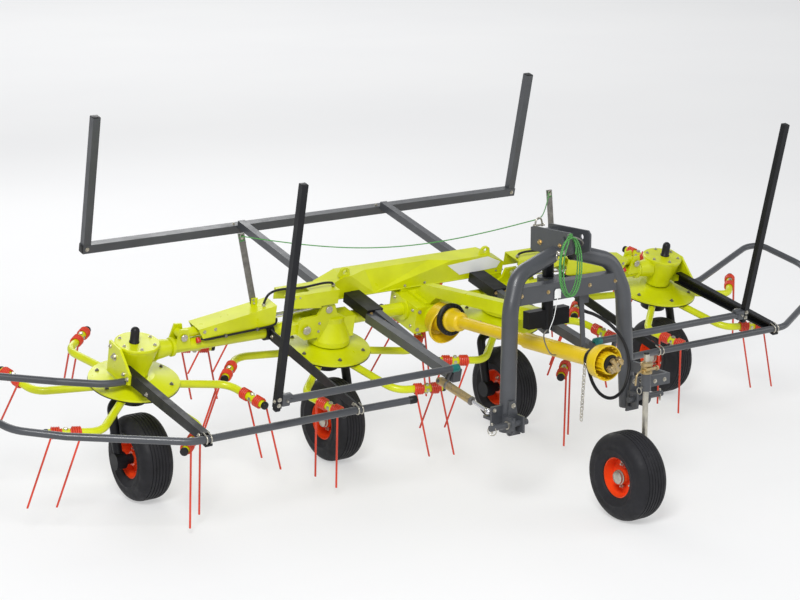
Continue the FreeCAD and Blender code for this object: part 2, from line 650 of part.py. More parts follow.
def lift_barrel(side):
    """Cylinder barrel under its sheet cover, which is open below and at both ends."""
    eye, _, unit = lift_line(side)
    ring = rod((eye.x, -26, eye.z), (eye.x, 26, eye.z), 20)
    barrel = fuse(ring, rod(tuple(eye + unit * 15), tuple(eye + unit * BARREL_LEN), BARREL_R))
    outline = [(side * x, w) for x, w in COVER]
    (x0, w0), (x1, w1) = COVER[0], COVER[3]
    cover = plate(outline, "y", 0, 2 * COVER_HALF)
    inside = [(side * (x0 + 40), w0 - COVER_SHEET - 6), (side * (x0 + 40), 150), (side * (x1 - 40), 150),
              (side * (x1 - 40), w1 - COVER_SHEET + 6)]
    cover = cover.cut(plate(inside, "y", 0, 2 * (COVER_HALF - COVER_SHEET)))
    webs = [box(side * x, side * (x + 6), -COVER_HALF, COVER_HALF, LIFT_EYE[1] + 20, LIFT_EYE[1] + 90)
            .common(plate(outline, "y", 0, 2 * COVER_HALF)) for x in (1210, 930)]
    body = fuse(barrel, cover, *webs)
    if side < 0:
        body = fuse(body, lever_lug(side))
    body = body.cut(rod((eye.x, -30, eye.z), (eye.x, 30, eye.z), LIFT_PIN_R + FIT))
    return body.cut(rod(tuple(eye + unit * 60), tuple(eye + unit * (BARREL_LEN + 10)), LIFT_ROD_R + FIT))


def lift_rod(side):
    """Piston rod with the open eye at the centre."""
    eye, base, unit = lift_line(side)
    ring = rod((base.x, -24, base.z), (base.x, 24, base.z), 18)
    return fuse(ring, rod(tuple(base + unit * 10), tuple(eye + unit * 330), LIFT_ROD_R))


def lift_hood(side):
    """Sheet hood on the piston rod, over the inner end of the cover.

    The right one is slotted for the lock lever on its cover; the left one carries its own lever.
    """
    eye, base, unit = lift_line(side)
    inner, outer = HOOD_X
    outline = [(inner, 257), (inner, HOOD_TOP), (outer, HOOD_TOP), (outer, 272), (633, 246), (633, 257)]
    outline = [(side * x, w) for x, w in outline]
    hood = plate(outline, "y", 0, 2 * HOOD_HALF)
    hollow = box(side * (inner - 1), side * (outer + 1), COVER_SHEET - HOOD_HALF, HOOD_HALF - COVER_SHEET,
                 200, HOOD_TOP - COVER_SHEET)
    length, half = HOOD_SLOT
    slot = box(side * (outer - length), side * (outer + 1), -half, half, 300, HOOD_TOP + 1)
    web = box(side * (LIFT_BASE[0] + 22), side * (LIFT_BASE[0] + 50), -5, 5, LIFT_BASE[1], HOOD_TOP - 1)
    hood = hood.cut(hollow)
    hood = fuse(hood.cut(slot), web) if side < 0 else fuse(hood, web, lever_lug(side))
    return hood.cut(rod(tuple(base), tuple(eye), LIFT_ROD_R + CLEAR))


def lock_lever(side):
    """Flat bar that stands on a cover or hood; a pull cord works it from the tractor."""
    (x0, w0), (x1, w1) = LEVER_FOOT[side], LEVER_TOP[side]
    half = LEVER[0] / 2
    return plate([(side * (x0 - half), w0 + 3), (side * (x0 + half), w0 + 3), (side * (x1 + half), w1),
                  (side * (x1 - half), w1)], "y", LEVER_V, LEVER[1])


# headstock --------------------------------------------------------------------------------
def arch_tube(side, radius):
    """Half of the arch as a round bar."""
    plate_face = PLATE_X + PLATE_T / 2 + CLEAR
    points = [(side * (plate_face - 12), ARCH_TOP_Y, ARCH_TOP_Z)]
    points += [(side * x, y, z) for x, y, z in reversed(ARCH)]
    points.append((side * LEG_X, LEG_Y, LEG_LOW))
    plates = box(-plate_face, plate_face, ARCH_TOP_Y - 150, SWIVEL_Y + 50, 1100, 1300)
    return swept(points, [110.0, 200.0], radius).cut(plates)


def arch(side):
    """One leg of the arch with its foot: front plate, two lugs, lower link pin and damper plate."""
    front = LEG_Y - ARCH_R
    inner, flange, outer = FOOT_PIN_X
    face = [(310, LEG_LOW - 8), (374, LEG_LOW - 8), (392, LEG_LOW + 20), (374, 562), (340, 562)]
    pieces = [arch_tube(side, ARCH_R), plate([(side * x, z) for x, z in face], "y", front - 3, 12)]
    for x in (326, 380):
        pieces.append(box(side * x, side * (x + 12), FOOT_Y - 26, LEG_Y - 12, FOOT_Z - 42, FOOT_Z + 34))
    pieces.append(rod((side * (flange - 12), FOOT_Y, FOOT_Z), (side * flange, FOOT_Y, FOOT_Z), 36))
    pieces.append(rod((side * inner, FOOT_Y, FOOT_Z), (side * outer, FOOT_Y, FOOT_Z), FOOT_PIN_R))
    pieces.append(box(side * LEG_X, side * 442, LEG_Y - 6, LEG_Y + 6, LEG_LOW + 20, LEG_LOW + 128))
    lug = DAMPER_FOOT[2] - DAMPER_BALL - CLEAR
    pieces.append(box(side * (DAMPER_FOOT[0] - 18), side * (DAMPER_FOOT[0] + 18),
                      LEG_Y, DAMPER_FOOT[1] + 18, lug - 12, lug))
    if side > 0:
        pieces.append(jack_guide())
    body = fuse(*pieces)
    return body.cut(rod((JACK_X, JACK_Y, 380), (JACK_X, JACK_Y, 850), JACK_R + FIT)) if side > 0 else body


def headstock():
    """Top plates for the top link with the upper pivot bush, and the cross beam with the lower one."""
    rear, front = SWIVEL_Y + 62, SWIVEL_Y - 238
    outline = [(rear, 1166), (rear, 1272), (rear - 18, 1278), (front + 16, 1291), (front, 1275),
               (front, 1200), (front + 60, 1176), (ARCH_TOP_Y, 1166)]
    top = [plate(outline, "x", side * PLATE_X, PLATE_T) for side in (-1, 1)]
    inner = PLATE_X - PLATE_T / 2 + 1
    top.append(box(-inner, inner, SWIVEL_Y - 20, SWIVEL_Y + 44, 1168, 1262))
    top.append(rod((0, SWIVEL_Y, 1168), (0, SWIVEL_Y, 1262), inner - 2))
    top.append(box(-inner, inner, BEAM_Y[1] - 32, BEAM_Y[1], 1176, 1262))
    top = fuse(*top).cut(rod((0, SWIVEL_Y, 900), (0, SWIVEL_Y, 1400), MAST_R + FIT))
    top = top.cut(rod((-80, TOP_Y, TOP_Z), (80, TOP_Y, TOP_Z), TOP_BORE_R))
    low, high = BEAM_Z
    beam = box(-LEG_X, LEG_X, *BEAM_Y, low, high)
    for side in (-1, 1):
        beam = beam.cut(arch_tube(side, ARCH_R + CLEAR))
        beam = beam.cut(box(side * 297, side * 400, BEAM_Y[0] - 94, SWIVEL_Y + 50, low - 1, high + 1))
    boss = rod((0, SWIVEL_Y, low - 5), (0, SWIVEL_Y, high - 10), 50)
    neck = box(-42, 42, BEAM_Y[0] + 10, SWIVEL_Y, low, high - 10)
    strap = plate([(78, low + 5), (104, low + 5), (122, 716), (96, 716)], "y", BEAM_Y[1] - 34, 6)
    clip = box(112, 148, BEAM_Y[1] - 20, BEAM_Y[1] + 36, 925, low + 5)
    lower = fuse(beam, boss, neck, strap, clip)
    return top, lower.cut(rod((0, SWIVEL_Y, 900), (0, SWIVEL_Y, 1400), MAST_R + FIT))


def jack_guide():
    """Round guide of the front wheel's pole on its bracket."""
    low, high = GUIDE_Z
    body = rod((JACK_X, JACK_Y, low), (JACK_X, JACK_Y, high), JACK_R + 10)
    arm = box(JACK_X + 8, LEG_X, JACK_Y - 8, JACK_Y + 8, low + 14, high - 16)
    back = box(LEG_X - 16, LEG_X, JACK_Y - 8, LEG_Y, low + 14, high - 16)
    return fuse(body, arm, back)


def jack_pole():
    """Round pole with the stub axle of the front wheel."""
    pole = rod((JACK_X, JACK_Y, AXLE_Z - 20), (JACK_X, JACK_Y, GUIDE_Z[1] + 90), JACK_R)
    knee = box(JACK_X - 20, JACK_X + 20, STAND_Y - 24, JACK_Y + 20, AXLE_Z - 28, AXLE_Z + 28)
    return fuse(pole, knee, stub_axle(STAND_X, STAND_Y, 1, JACK_X - STAND_X - 10))


def pivot_mast():
    """Mast that carries the headstock, on its cross block."""
    low, under, over, back = MAST_FOOT
    mast = rod((0, SWIVEL_Y, low), (0, SWIVEL_Y, 1252), MAST_R)
    cross = box(-GEAR_HALF - 12, GEAR_HALF + 12, SWIVEL_Y - 16, SWIVEL_Y + back, under, over)
    return fuse(mast, cross)


def damper_line(side):
    """Root and foot of a damper, and the axis on which it swings as the headstock turns."""
    root, foot = (V(side * p[0], p[1], p[2]) for p in (DAMPER_ROOT, DAMPER_FOOT))
    tangent = V(SWIVEL_Y - foot.y, foot.x, 0)
    return root, foot, (foot - root).cross(tangent).normalize() * side


def damper(side):
    """Barrel and rod of the damper between frame and headstock foot."""
    root, foot, axis = damper_line(side)
    gland = root + (foot - root) * DAMPER_BODY
    ring = rod(tuple(root - axis * 14), tuple(root + axis * 14), DAMPER_PIN_R + 9)
    barrel = fuse(ring, rod(tuple(root), tuple(gland), DAMPER_R))
    inner = root + (foot - root) * 0.3
    barrel = barrel.cut(rod(tuple(inner), tuple(gland + (foot - root) * 0.1), DAMPER_ROD_R + FIT))
    barrel = barrel.cut(rod(tuple(root - axis * 40), tuple(root + axis * 40), DAMPER_PIN_R + FIT))
    slider = fuse(rod(tuple(root + (foot - root) * 0.56), tuple(foot), DAMPER_ROD_R),
                  Part.makeSphere(DAMPER_BALL, foot))
    return barrel, slider


def damper_pin(side):
    """Pin and bracket on the front guard that carry a damper's barrel."""
    root, _, axis = damper_line(side)
    end = root + axis * 44
    tube_at = tilt(rod((end.x, POST_V, POST_W), (end.x + 1, POST_V, POST_W), 1)).BoundBox.Center
    return fuse(rod(tuple(root - axis * 20), tuple(end), DAMPER_PIN_R), rod(tuple(end), tuple(tube_at), 12))


# PTO shaft --------------------------------------------------------------------------------
def pto_point(share):
    """A point on the shaft's axis between its joints."""
    return tuple(a + (b - a) * share for a, b in zip(PTO_REAR, PTO_FRONT))


def pto_rear():
    """Rear half: guard cone round the joint and the inner guard tube."""
    cone = fuse(rod(pto_point(0.002), pto_point(0.075), 72), rod(pto_point(0.07), pto_point(0.13), 46))
    body = fuse(cone, rod(pto_point(0.1), pto_point(0.74), PTO_INNER_R))
    return body.cut(Part.makeSphere(JOINT_R + CLEAR, V(*PTO_REAR)))


def pto_front():
    """Front half: outer guard tube, which slides on the inner one, and the front bell."""
    body = fuse(rod(pto_point(0.54), pto_point(0.92), PTO_OUTER_R),
                rod(pto_point(0.88), pto_point(0.975), 70))
    body = body.cut(rod(pto_point(0.53), pto_point(0.82), PTO_INNER_R + FIT))
    return body.cut(rod(pto_point(0.88), pto_point(1.0), YOKE_SHAFT_R + FIT))


def pto_yoke():
    """Turning yoke at the tractor end, on its shaft."""
    return fuse(rod(pto_point(0.90), pto_point(0.99), YOKE_SHAFT_R),
                rod(pto_point(0.977), pto_point(1.06), 40))


# cords ------------------------------------------------------------------------------------
def cord(points, radius):
    """A cord's plain solid along its route, with each bend as large as its two runs allow."""
    radii = smooth(points, 1e6)
    body = swept(points, radii, radius)
    length = path(points, radii).Length
    print("cord", round(length), "mm, bends", [round(r) for r in radii],
          "volume", round(body.Volume / (math.pi * radius ** 2 * length), 4))
    return body


def cord_bundle():
    """The hanging loops of the pull cord, as one closed solid of their outer shape."""
    half, tall, thick = BUNDLE_SIZE
    outer = Part.Face(Part.Wire(Part.Ellipse(V(0, 0, 0), tall, half).toShape()))
    inner = Part.Face(Part.Wire(Part.Ellipse(V(0, 0, 0), tall - thick, half - thick).toShape()))
    body = outer.cut(inner).extrude(V(0, 0, thick * 2))
    body.Placement = FreeCAD.Placement(V(BUNDLE[0], BUNDLE[1] + thick, BUNDLE[2]),
                                       FreeCAD.Rotation(V(0, 0, 1), V(1, 0, 0), V(0, -1, 0), "XZY"))
    return body


# build ------------------------------------------------------------------------------------
def main():
    os.makedirs("parts", exist_ok=True)
    both = (-1, 1)
    save("main_beam", tilt(main_beam()))
    save("centre_gearbox", tilt(centre_box()))
    save("inner_gearboxes", *[tilt(inner_box(side)) for side in both])
    save("inner_wheel_legs", *[wheel_leg(side * INNER_X, -side) for side in both])
    save("rear_frame", tilt(rear_frame()))
    save("guard_bar", *[fuse(tilt(guard_bar(side)), damper_pin(side)) for side in both])
    save("front_posts", *[tilt(piece) for piece in posts()])
    save("pivot_mast", pivot_mast(), *[tilt(beam_bracket(side)) for side in both])
    save("headstock", *headstock())
    save("jockey_pole", jack_pole())
    save("jockey_tyre", tyre(STAND_X, STAND_Y))
    save("jockey_rim", rim(STAND_X, STAND_Y, 1))
    save("pto_rear_guard", pto_rear())
    save("pto_front_guard", pto_front())
    save("pto_yoke", pto_yoke())
    save("cord_bundle", cord_bundle())
    save("hose_loop", cord(HOSE_LOOP, HOSE_R))
    for side, hand in zip(both, ("right", "left")):
        outer = side * OUTER_X
        save("arch_" + hand, arch(side))
        save("wing_arm_" + hand, tilt(wing_arm(side)))
        save("outer_gearbox_" + hand, tilt(outer_box(side)))
        save("wing_guard_" + hand, tilt(wing_guard(side)))
        save("wing_brackets_" + hand, *[tilt(piece) for piece in wing_brackets(side)])
        save("outer_wheel_leg_" + hand, wheel_leg(outer, side))
        save("lift_barrel_" + hand, tilt(lift_barrel(side)))
        save("lift_rod_" + hand, tilt(lift_rod(side)))
        save("lift_hood_" + hand, tilt(lift_hood(side)))
        save("lock_lever_" + hand, tilt(lock_lever(side)))
        save("lift_hose_" + hand, tilt(cord([(side * x, v, w) for x, v, w in LIFT_HOSE], HOSE_R - 2)))
        barrel, slider = damper(side)
        save("damper_barrel_" + hand, barrel)
        save("damper_rod_" + hand, slider)
    centres = [(-1.5, 30.0, -1), (-0.5, 0.0, 1), (0.5, 30.0, -1), (1.5, 0.0, 1)]
    for number, (step, phase, trail) in enumerate(centres, start=1):
        x = step * ROTOR_SPACING
        save("rotor_%d" % number, tilt(rotor_arms(x, phase, trail)))
        save("tines_%d" % number, *[tilt(piece) for piece in tines(x, phase, trail)])
        save("tyre_%d" % number, tyre(x, WHEEL_BACK))
        save("rim_%d" % number, rim(x, WHEEL_BACK, WHEEL_SIDES[number - 1]))


main()
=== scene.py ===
"""Looks of a four-rotor hay tedder: its enamels, hoses, cords, springs, tyres and fittings.

Lengths are metres in the machine's own frame: Z up, X to the machine's left, -Y forward.
Most places are given in the frame that leans forward with the rotors, where the machine is square.
"""
import bpy
import math
from mathutils import Matrix, Vector


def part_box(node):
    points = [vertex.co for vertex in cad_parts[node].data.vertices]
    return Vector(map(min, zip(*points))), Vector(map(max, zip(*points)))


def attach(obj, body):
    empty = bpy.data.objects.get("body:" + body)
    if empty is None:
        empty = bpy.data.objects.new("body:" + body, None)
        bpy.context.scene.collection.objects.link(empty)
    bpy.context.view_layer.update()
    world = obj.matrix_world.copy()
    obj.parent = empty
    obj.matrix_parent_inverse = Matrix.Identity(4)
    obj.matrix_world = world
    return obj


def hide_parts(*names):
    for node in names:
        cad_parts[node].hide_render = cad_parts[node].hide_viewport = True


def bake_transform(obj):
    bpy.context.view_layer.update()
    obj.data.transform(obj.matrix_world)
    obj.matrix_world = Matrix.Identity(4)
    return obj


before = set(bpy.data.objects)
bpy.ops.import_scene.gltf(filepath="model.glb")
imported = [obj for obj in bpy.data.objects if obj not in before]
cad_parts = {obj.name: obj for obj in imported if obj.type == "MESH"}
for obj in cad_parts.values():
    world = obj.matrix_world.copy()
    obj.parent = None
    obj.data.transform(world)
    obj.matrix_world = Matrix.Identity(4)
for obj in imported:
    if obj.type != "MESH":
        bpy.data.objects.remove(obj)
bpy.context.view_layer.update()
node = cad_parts

LEAN = math.radians(13.3)       # forward lean of the frame and rotors
ROW_Y = 0.3596                  # rotor row from the machine's middle
DISC_Z = 0.567                  # rotor discs above the floor at the row
SPACING = 1.056                 # rotor to rotor
TUBE_W = 0.136                  # wing tubes above the discs
FOLD_X = 0.7                    # fold hinges of the wings, from the middle
CYLINDER_X = 1.365              # outer pins of the lift cylinders
STAY_X, UPRIGHT_X = 0.446, 1.328        # stays and uprights of the rear frame
POST_X = 1.366                  # front posts
BRACKET_X, SIDE_PLATE_X = 0.889, 1.696  # flat bars and side plates that carry the outer guards
HANDS = ((-1, "right"), (1, "left"))
leaning = Matrix.Translation((0, ROW_Y, DISC_Z)) @ Matrix.Rotation(LEAN, 4, "X")


def level(x, v, w):
    """A place in the leaning frame: v runs back from the rotor row, w up the rotor shafts."""
    return leaning @ Vector((x, v, w))


def row(x, y, z):
    """A place measured from the rotor row, in an upright frame."""
    return Vector((x, y + ROW_Y, z))


# camera ----------------------------------------------------------
bpy.ops.object.camera_add(location=(-5.9796, -8.1984, 3.2852),
        rotation=(math.radians(76.2), 0, math.radians(-34.5)))
camera = bpy.context.object
camera.data.lens = 96.9
camera.data.sensor_width = 36
camera.data.clip_end = 200
bpy.context.scene.camera = camera


# finishes --------------------------------------------------------
def finish(name, colour, rough, metal=0.0, coat=0.0):
    """A material with its constant values on the shader, and the piece's own coordinates."""
    made = bpy.data.materials.new(name)
    made.use_nodes = True
    tree = made.node_tree
    shader = tree.nodes["Principled BSDF"]
    shader.inputs["Base Color"].default_value = (*colour, 1)
    shader.inputs["Roughness"].default_value = rough
    shader.inputs["Metallic"].default_value = metal
    shader.inputs["Coat Weight"].default_value = coat
    shader.inputs["Coat Roughness"].default_value = 0.08
    place = tree.nodes.new("ShaderNodeTexCoord").outputs["Object"]
    return made, tree, shader, place


def clouds(tree, place, scale, detail):
    """A noise pattern of a given fineness."""
    noise = tree.nodes.new("ShaderNodeTexNoise")
    noise.inputs["Scale"].default_value = scale
    noise.inputs["Detail"].default_value = detail
    noise.inputs["Roughness"].default_value = 0.55
    tree.links.new(place, noise.inputs["Vector"])
    return noise.outputs["Fac"]


def steps(tree, pattern, *stops):
    """Colours or greys over a pattern, as (place, colour) stops."""
    ramp = tree.nodes.new("ShaderNodeValToRGB")
    keys = ramp.color_ramp.elements
    while len(keys) < len(stops):
        keys.new(0.5)
    for key, (at, colour) in zip(keys, stops):
        key.position = at
        key.color = (*colour, 1) if hasattr(colour, "__len__") else (colour, colour, colour, 1)
    tree.links.new(pattern, ramp.inputs["Fac"])
    return ramp.outputs["Color"]


def vary(tree, shader, place, socket, scale, detail, *stops):
    """Let clouds of a given fineness vary one of the shader's inputs between stops."""
    tree.links.new(steps(tree, clouds(tree, place, scale, detail), *stops), shader.inputs[socket])


def relief(tree, shader, pattern, height, strength):
    """Bumps from a pattern."""
    bump = tree.nodes.new("ShaderNodeBump")
    bump.inputs["Strength"].default_value = strength
    bump.inputs["Distance"].default_value = height
    tree.links.new(pattern, bump.inputs["Height"])
    tree.links.new(bump.outputs["Normal"], shader.inputs["Normal"])


def toned(colour, share):
    """The same colour, darker or paler by a share."""
    return tuple(c * share for c in colour)


def enamel(name, colour, rough, coat, uneven, peel=0.0004):
    """Sprayed enamel: slight unevenness, dust that dulls it, and an orange peel."""
    made, tree, shader, place = finish(name, colour, rough, coat=coat)
    vary(tree, shader, place, "Base Color", 5.5, 4, (0.36, toned(colour, uneven)), (0.62, colour))
    vary(tree, shader, place, "Roughness", 14.0, 6, (0.3, rough * 0.8), (0.75, rough * 1.35))
    relief(tree, shader, clouds(tree, place, 260.0, 2), peel, 0.25)
    return made


def plated(name, colour, tint, rough):
    """Passivated zinc: two tints that run into each other over a dull metal."""
    made, tree, shader, place = finish(name, colour, rough, 0.85)
    vary(tree, shader, place, "Base Color", 38.0, 4, (0.35, colour), (0.66, tint))
    vary(tree, shader, place, "Roughness", 120.0, 5, (0.3, rough * 0.8), (0.7, rough * 1.5))
    relief(tree, shader, clouds(tree, place, 420.0, 2), 0.0002, 0.3)
    return made


def rubber(name, colour, rough, bloom, grain):
    """Rubber with a paler matt bloom and a fine grain."""
    made, tree, shader, place = finish(name, colour, rough)
    vary(tree, shader, place, "Base Color", 9.0, 6, (0.35, colour), (0.75, toned(colour, bloom)))
    vary(tree, shader, place, "Roughness", 30.0, 5, (0.3, rough * 0.85), (0.7, min(rough * 1.2, 1.0)))
    relief(tree, shader, clouds(tree, place, grain, 3), 0.0004, 0.35)
    return made


def moulded(name, colour, rough):
    """Moulded plastic: even colour with a faint texture from the mould."""
    made, tree, shader, place = finish(name, colour, rough)
    vary(tree, shader, place, "Base Color", 7.0, 3, (0.3, toned(colour, 0.88)), (0.65, colour))
    relief(tree, shader, clouds(tree, place, 520.0, 2), 0.0003, 0.3)
    return made


def braid(name, colour, dark):
    """Braided cord: light and dark strands in turn along the line."""
    made, tree, shader, _ = finish(name, colour, 0.75)
    along = tree.nodes.new("ShaderNodeTexCoord").outputs["UV"]
    strands = tree.nodes.new("ShaderNodeMapping")
    strands.inputs["Scale"].default_value = (420.0, 4.0, 1.0)
    tree.links.new(along, strands.inputs["Vector"])
    check = tree.nodes.new("ShaderNodeTexChecker")
    check.inputs["Scale"].default_value = 1.0
    check.inputs["Color1"].default_value = (*colour, 1)
    check.inputs["Color2"].default_value = (*dark, 1)
    tree.links.new(strands.outputs["Vector"], check.inputs["Vector"])
    tree.links.new(check.outputs["Color"], shader.inputs["Base Color"])
    relief(tree, shader, check.outputs["Fac"], 0.0006, 0.6)
    return made


lime = enamel("lime_enamel", (0.63, 0.68, 0.0), 0.34, 0.12, 0.86)
grey = enamel("grey_enamel", (0.062, 0.066, 0.074), 0.36, 0.12, 0.84)
black = enamel("black_powder_coat", (0.006, 0.0065, 0.009), 0.42, 0.0, 0.7, 0.0007)
red = enamel("red_enamel", (0.88, 0.075, 0.012), 0.36, 0.1, 0.88)
# The tines carry the same red paint as red_enamel, made darker as painted shade for the shade and reflections
# along the thin tines.
tine_red_shaded = enamel("tine_red_painted_shade", (0.66, 0.045, 0.014), 0.42, 0.1, 0.85)
tread = rubber("tyre_rubber", (0.01, 0.01, 0.012), 0.62, 1.9, 240.0)
hose_black = rubber("hose_rubber", (0.01, 0.01, 0.011), 0.42, 1.5, 700.0)
yellow = moulded("yellow_guard", (0.76, 0.53, 0.006), 0.36)
white = enamel("white_panel", (0.83, 0.84, 0.84), 0.35, 0.3, 0.95)
red_cap = moulded("red_cap", (0.6, 0.02, 0.015), 0.35)
black_cap = moulded("black_cap", (0.012, 0.012, 0.013), 0.42)
teal_cap = moulded("teal_cap", (0.0, 0.16, 0.145), 0.34)
zinc = plated("clear_zinc", (0.44, 0.42, 0.37), (0.56, 0.53, 0.45), 0.3)
brass = plated("yellow_zinc", (0.52, 0.38, 0.16), (0.42, 0.34, 0.22), 0.3)
chrome = plated("hard_chrome", (0.7, 0.7, 0.72), (0.78, 0.78, 0.8), 0.12)
steel = plated("dull_steel", (0.17, 0.16, 0.15), (0.26, 0.25, 0.23), 0.36)
for dark in (black, tread, hose_black, black_cap):
    dark.node_tree.nodes["Principled BSDF"].inputs["Specular IOR Level"].default_value = 0.28
cord_green = braid("green_cord", (0.11, 0.36, 0.09), (0.04, 0.2, 0.04))

FINISHES = {
    lime: ["main_beam", "centre_gearbox", "inner_gearboxes", "wing_arm_*", "outer_gearbox_*",
           "lift_barrel_*", "lift_hood_*", "rotor_1", "rotor_2", "rotor_3", "rotor_4"],
    grey: ["rear_frame", "guard_bar", "headstock", "arch_right", "arch_left", "wing_guard_*"],
    black: ["inner_wheel_legs", "front_posts", "pivot_mast", "outer_wheel_leg_*", "wing_brackets_*"],
    zinc: ["jockey_pole"],
    brass: ["damper_barrel_*"],
    chrome: ["damper_rod_*", "lift_rod_*"],
    steel: ["pto_yoke", "lock_lever_*"],
    yellow: ["pto_rear_guard", "pto_front_guard"],
    red: ["jockey_rim", "rim_1", "rim_2", "rim_3", "rim_4"],
    tine_red_shaded: ["tines_1", "tines_2", "tines_3", "tines_4"],
    tread: ["jockey_tyre", "tyre_1", "tyre_2", "tyre_3", "tyre_4"],
    cord_green: ["cord_bundle"],
    hose_black: ["hose_loop", "lift_hose_*"],
}
for finish_of, names in FINISHES.items():
    for name in names:
        for each in ([name.replace("*", hand) for _, hand in HANDS] if "*" in name else [name]):
            node[each].data.materials.clear()
            node[each].data.materials.append(finish_of)


# workbench -------------------------------------------------------
def bare():
    """Leave nothing selected."""
    if bpy.context.object and bpy.context.object.mode == "EDIT":
        bpy.ops.object.mode_set(mode="OBJECT")
    bpy.ops.object.select_all(action="DESELECT")


def hold(*pieces):
    """Select these pieces, the last one active."""
    bare()
    for piece in pieces:
        piece.select_set(True)
    bpy.context.view_layer.objects.active = pieces[-1]
    return pieces[-1]


def open_mesh(select=None):
    """Open the active piece for editing, with all of it or nothing selected if asked."""
    bpy.ops.object.mode_set(mode="EDIT")
    if select:
        bpy.ops.mesh.select_all(action=select)


def close_mesh():
    """Go back from editing."""
    bpy.ops.object.mode_set(mode="OBJECT")


def seat(piece):
    """Put a piece's place into its mesh."""
    hold(piece)
    bpy.ops.object.transform_apply(location=True, rotation=True, scale=True)
    return piece


def lay(piece, place, axis):
    """Turn a piece's own Z onto an axis and carry it to its place."""
    turn = Vector((0, 0, 1)).rotation_difference(Vector(axis).normalized()).to_matrix().to_4x4()
    piece.data.transform(Matrix.Translation(Vector(place)) @ turn)
    return piece


def again(piece, name, carry):
    """A copy with its own mesh, carried to a place."""
    other = piece.copy()
    other.data = piece.data.copy()
    other.name = name
    bpy.context.collection.objects.link(other)
    other.data.transform(carry)
    return other


def discard(*pieces):
    """Take models out of the scene when their copies are made."""
    for piece in pieces:
        bpy.data.objects.remove(piece)


def weld(name, *pieces):
    """Join pieces into one."""
    hold(*pieces)
    if len(pieces) > 1:
        bpy.ops.object.join()
    made = bpy.context.object
    made.name = name
    return made


def outward(piece):
    """Turn every face outwards."""
    hold(piece)
    open_mesh("SELECT")
    bpy.ops.mesh.normals_make_consistent(inside=False)
    close_mesh()
    return piece


def ease(piece, wide, rounds, angle=35):
    """Round a piece's sharp edges."""
    hold(piece)
    edge = piece.modifiers.new("edge", "BEVEL")
    edge.width, edge.segments = wide, rounds
    edge.limit_method, edge.angle_limit = "ANGLE", math.radians(angle)
    bpy.ops.object.modifier_apply(modifier="edge")
    return piece


def fit(piece, body, coat, smooth=35):
    """Finish a piece: its material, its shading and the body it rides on."""
    hold(piece)
    bpy.ops.object.shade_smooth_by_angle(angle=math.radians(smooth))
    piece.data.materials.clear()
    piece.data.materials.append(coat)
    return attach(piece, body)


def turning(name, rings, sides, per_metre=1000):
    """A turned piece about Z, from its rings of radius and height in millimetres."""
    bare()
    rings = [(r / per_metre, h / per_metre) for r, h in rings]
    wide, high = rings[0]
    bpy.ops.mesh.primitive_circle_add(vertices=sides, radius=wide, fill_type="NGON", location=(0, 0, high))
    piece = bpy.context.object
    piece.name = name
    seat(piece)
    open_mesh("SELECT")
    for r, h in rings[1:]:
        bpy.ops.mesh.extrude_region_move(TRANSFORM_OT_translate={"value": (0, 0, h - high)})
        bpy.ops.transform.resize(value=(r / wide, r / wide, 1), center_override=(0, 0, h))
        wide, high = r, h
    close_mesh()
    return outward(piece)


def block(name, low, high, edge, rounds=2):
    """A block between two corners with eased edges."""
    bare()
    low, high = Vector(low), Vector(high)
    bpy.ops.mesh.primitive_cube_add(size=1, location=(low + high) / 2)
    piece = bpy.context.object
    piece.name = name
    piece.scale = [abs(c) for c in high - low]
    return ease(seat(piece), edge, rounds)


def wire(name, points, radius, sides=2, fine=6):
    """A bent wire, bar or pipe along points."""
    line = bpy.data.curves.new(name, "CURVE")
    line.dimensions, line.bevel_depth, line.bevel_resolution = "3D", radius, sides
    line.resolution_u, line.use_fill_caps = fine, True
    run = line.splines.new("NURBS")
    run.points.add(len(points) - 1)
    for point, place in zip(run.points, points):
        point.co = (*place, 1)
    run.order_u = 3
    run.use_endpoint_u = True
    piece = bpy.data.objects.new(name, line)
    bpy.context.collection.objects.link(piece)
    return piece


def meshed(piece):
    """A curve made into a mesh."""
    hold(piece)
    bpy.ops.object.convert(target="MESH")
    return bpy.context.object


def bent(name, points, radius, body, coat, sides=2, fine=6):
    """A finished piece of bent wire, bar or pipe."""
    return fit(weld(name, meshed(wire(name, points, radius, sides, fine))), body, coat, 60)


# cords and hoses -------------------------------------------------
HOSE = 0.016
loop_line = [row(x / 1000, y / 1000, z / 1000) for x, y, z in (
    (130, -1119, 923.6), (131, -1120, 897), (150, -1133, 876), (192, -1160, 862), (246, -1206, 818),
    (281, -1247, 760), (297, -1276, 694), (292, -1296, 628), (268, -1310, 567), (224, -1322, 519),
    (163, -1326, 500), (110, -1314, 523), (82, -1288, 574), (82, -1258, 630), (94, -1224, 676),
    (104, -1200, 722))]
hose_loop = wire("hanging_hose", loop_line, HOSE / 2, 4, 10)
hose_loop.data.materials.append(hose_black)
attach(hose_loop, "headstock")
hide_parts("hose_loop")

lift_line = ((938, -24, 300), (930, -24, 334), (901, -24, 356), (850, -24, 362), (790, -26, 356),
             (730, -26, 352), (670, -25, 357), (612, -24, 360), (574, -24, 357), (558, -24, 350),
             (556, -24, 332))
for side, hand in HANDS:
    run = [level(side * x / 1000, v / 1000, w / 1000) for x, v, w in lift_line]
    pipe = wire("lift_pipe_" + hand, run, HOSE / 2 - 0.002, 4, 8)
    pipe.data.materials.append(hose_black)
    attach(pipe, "lift_rod_" + hand)
    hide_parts("lift_hose_" + hand)

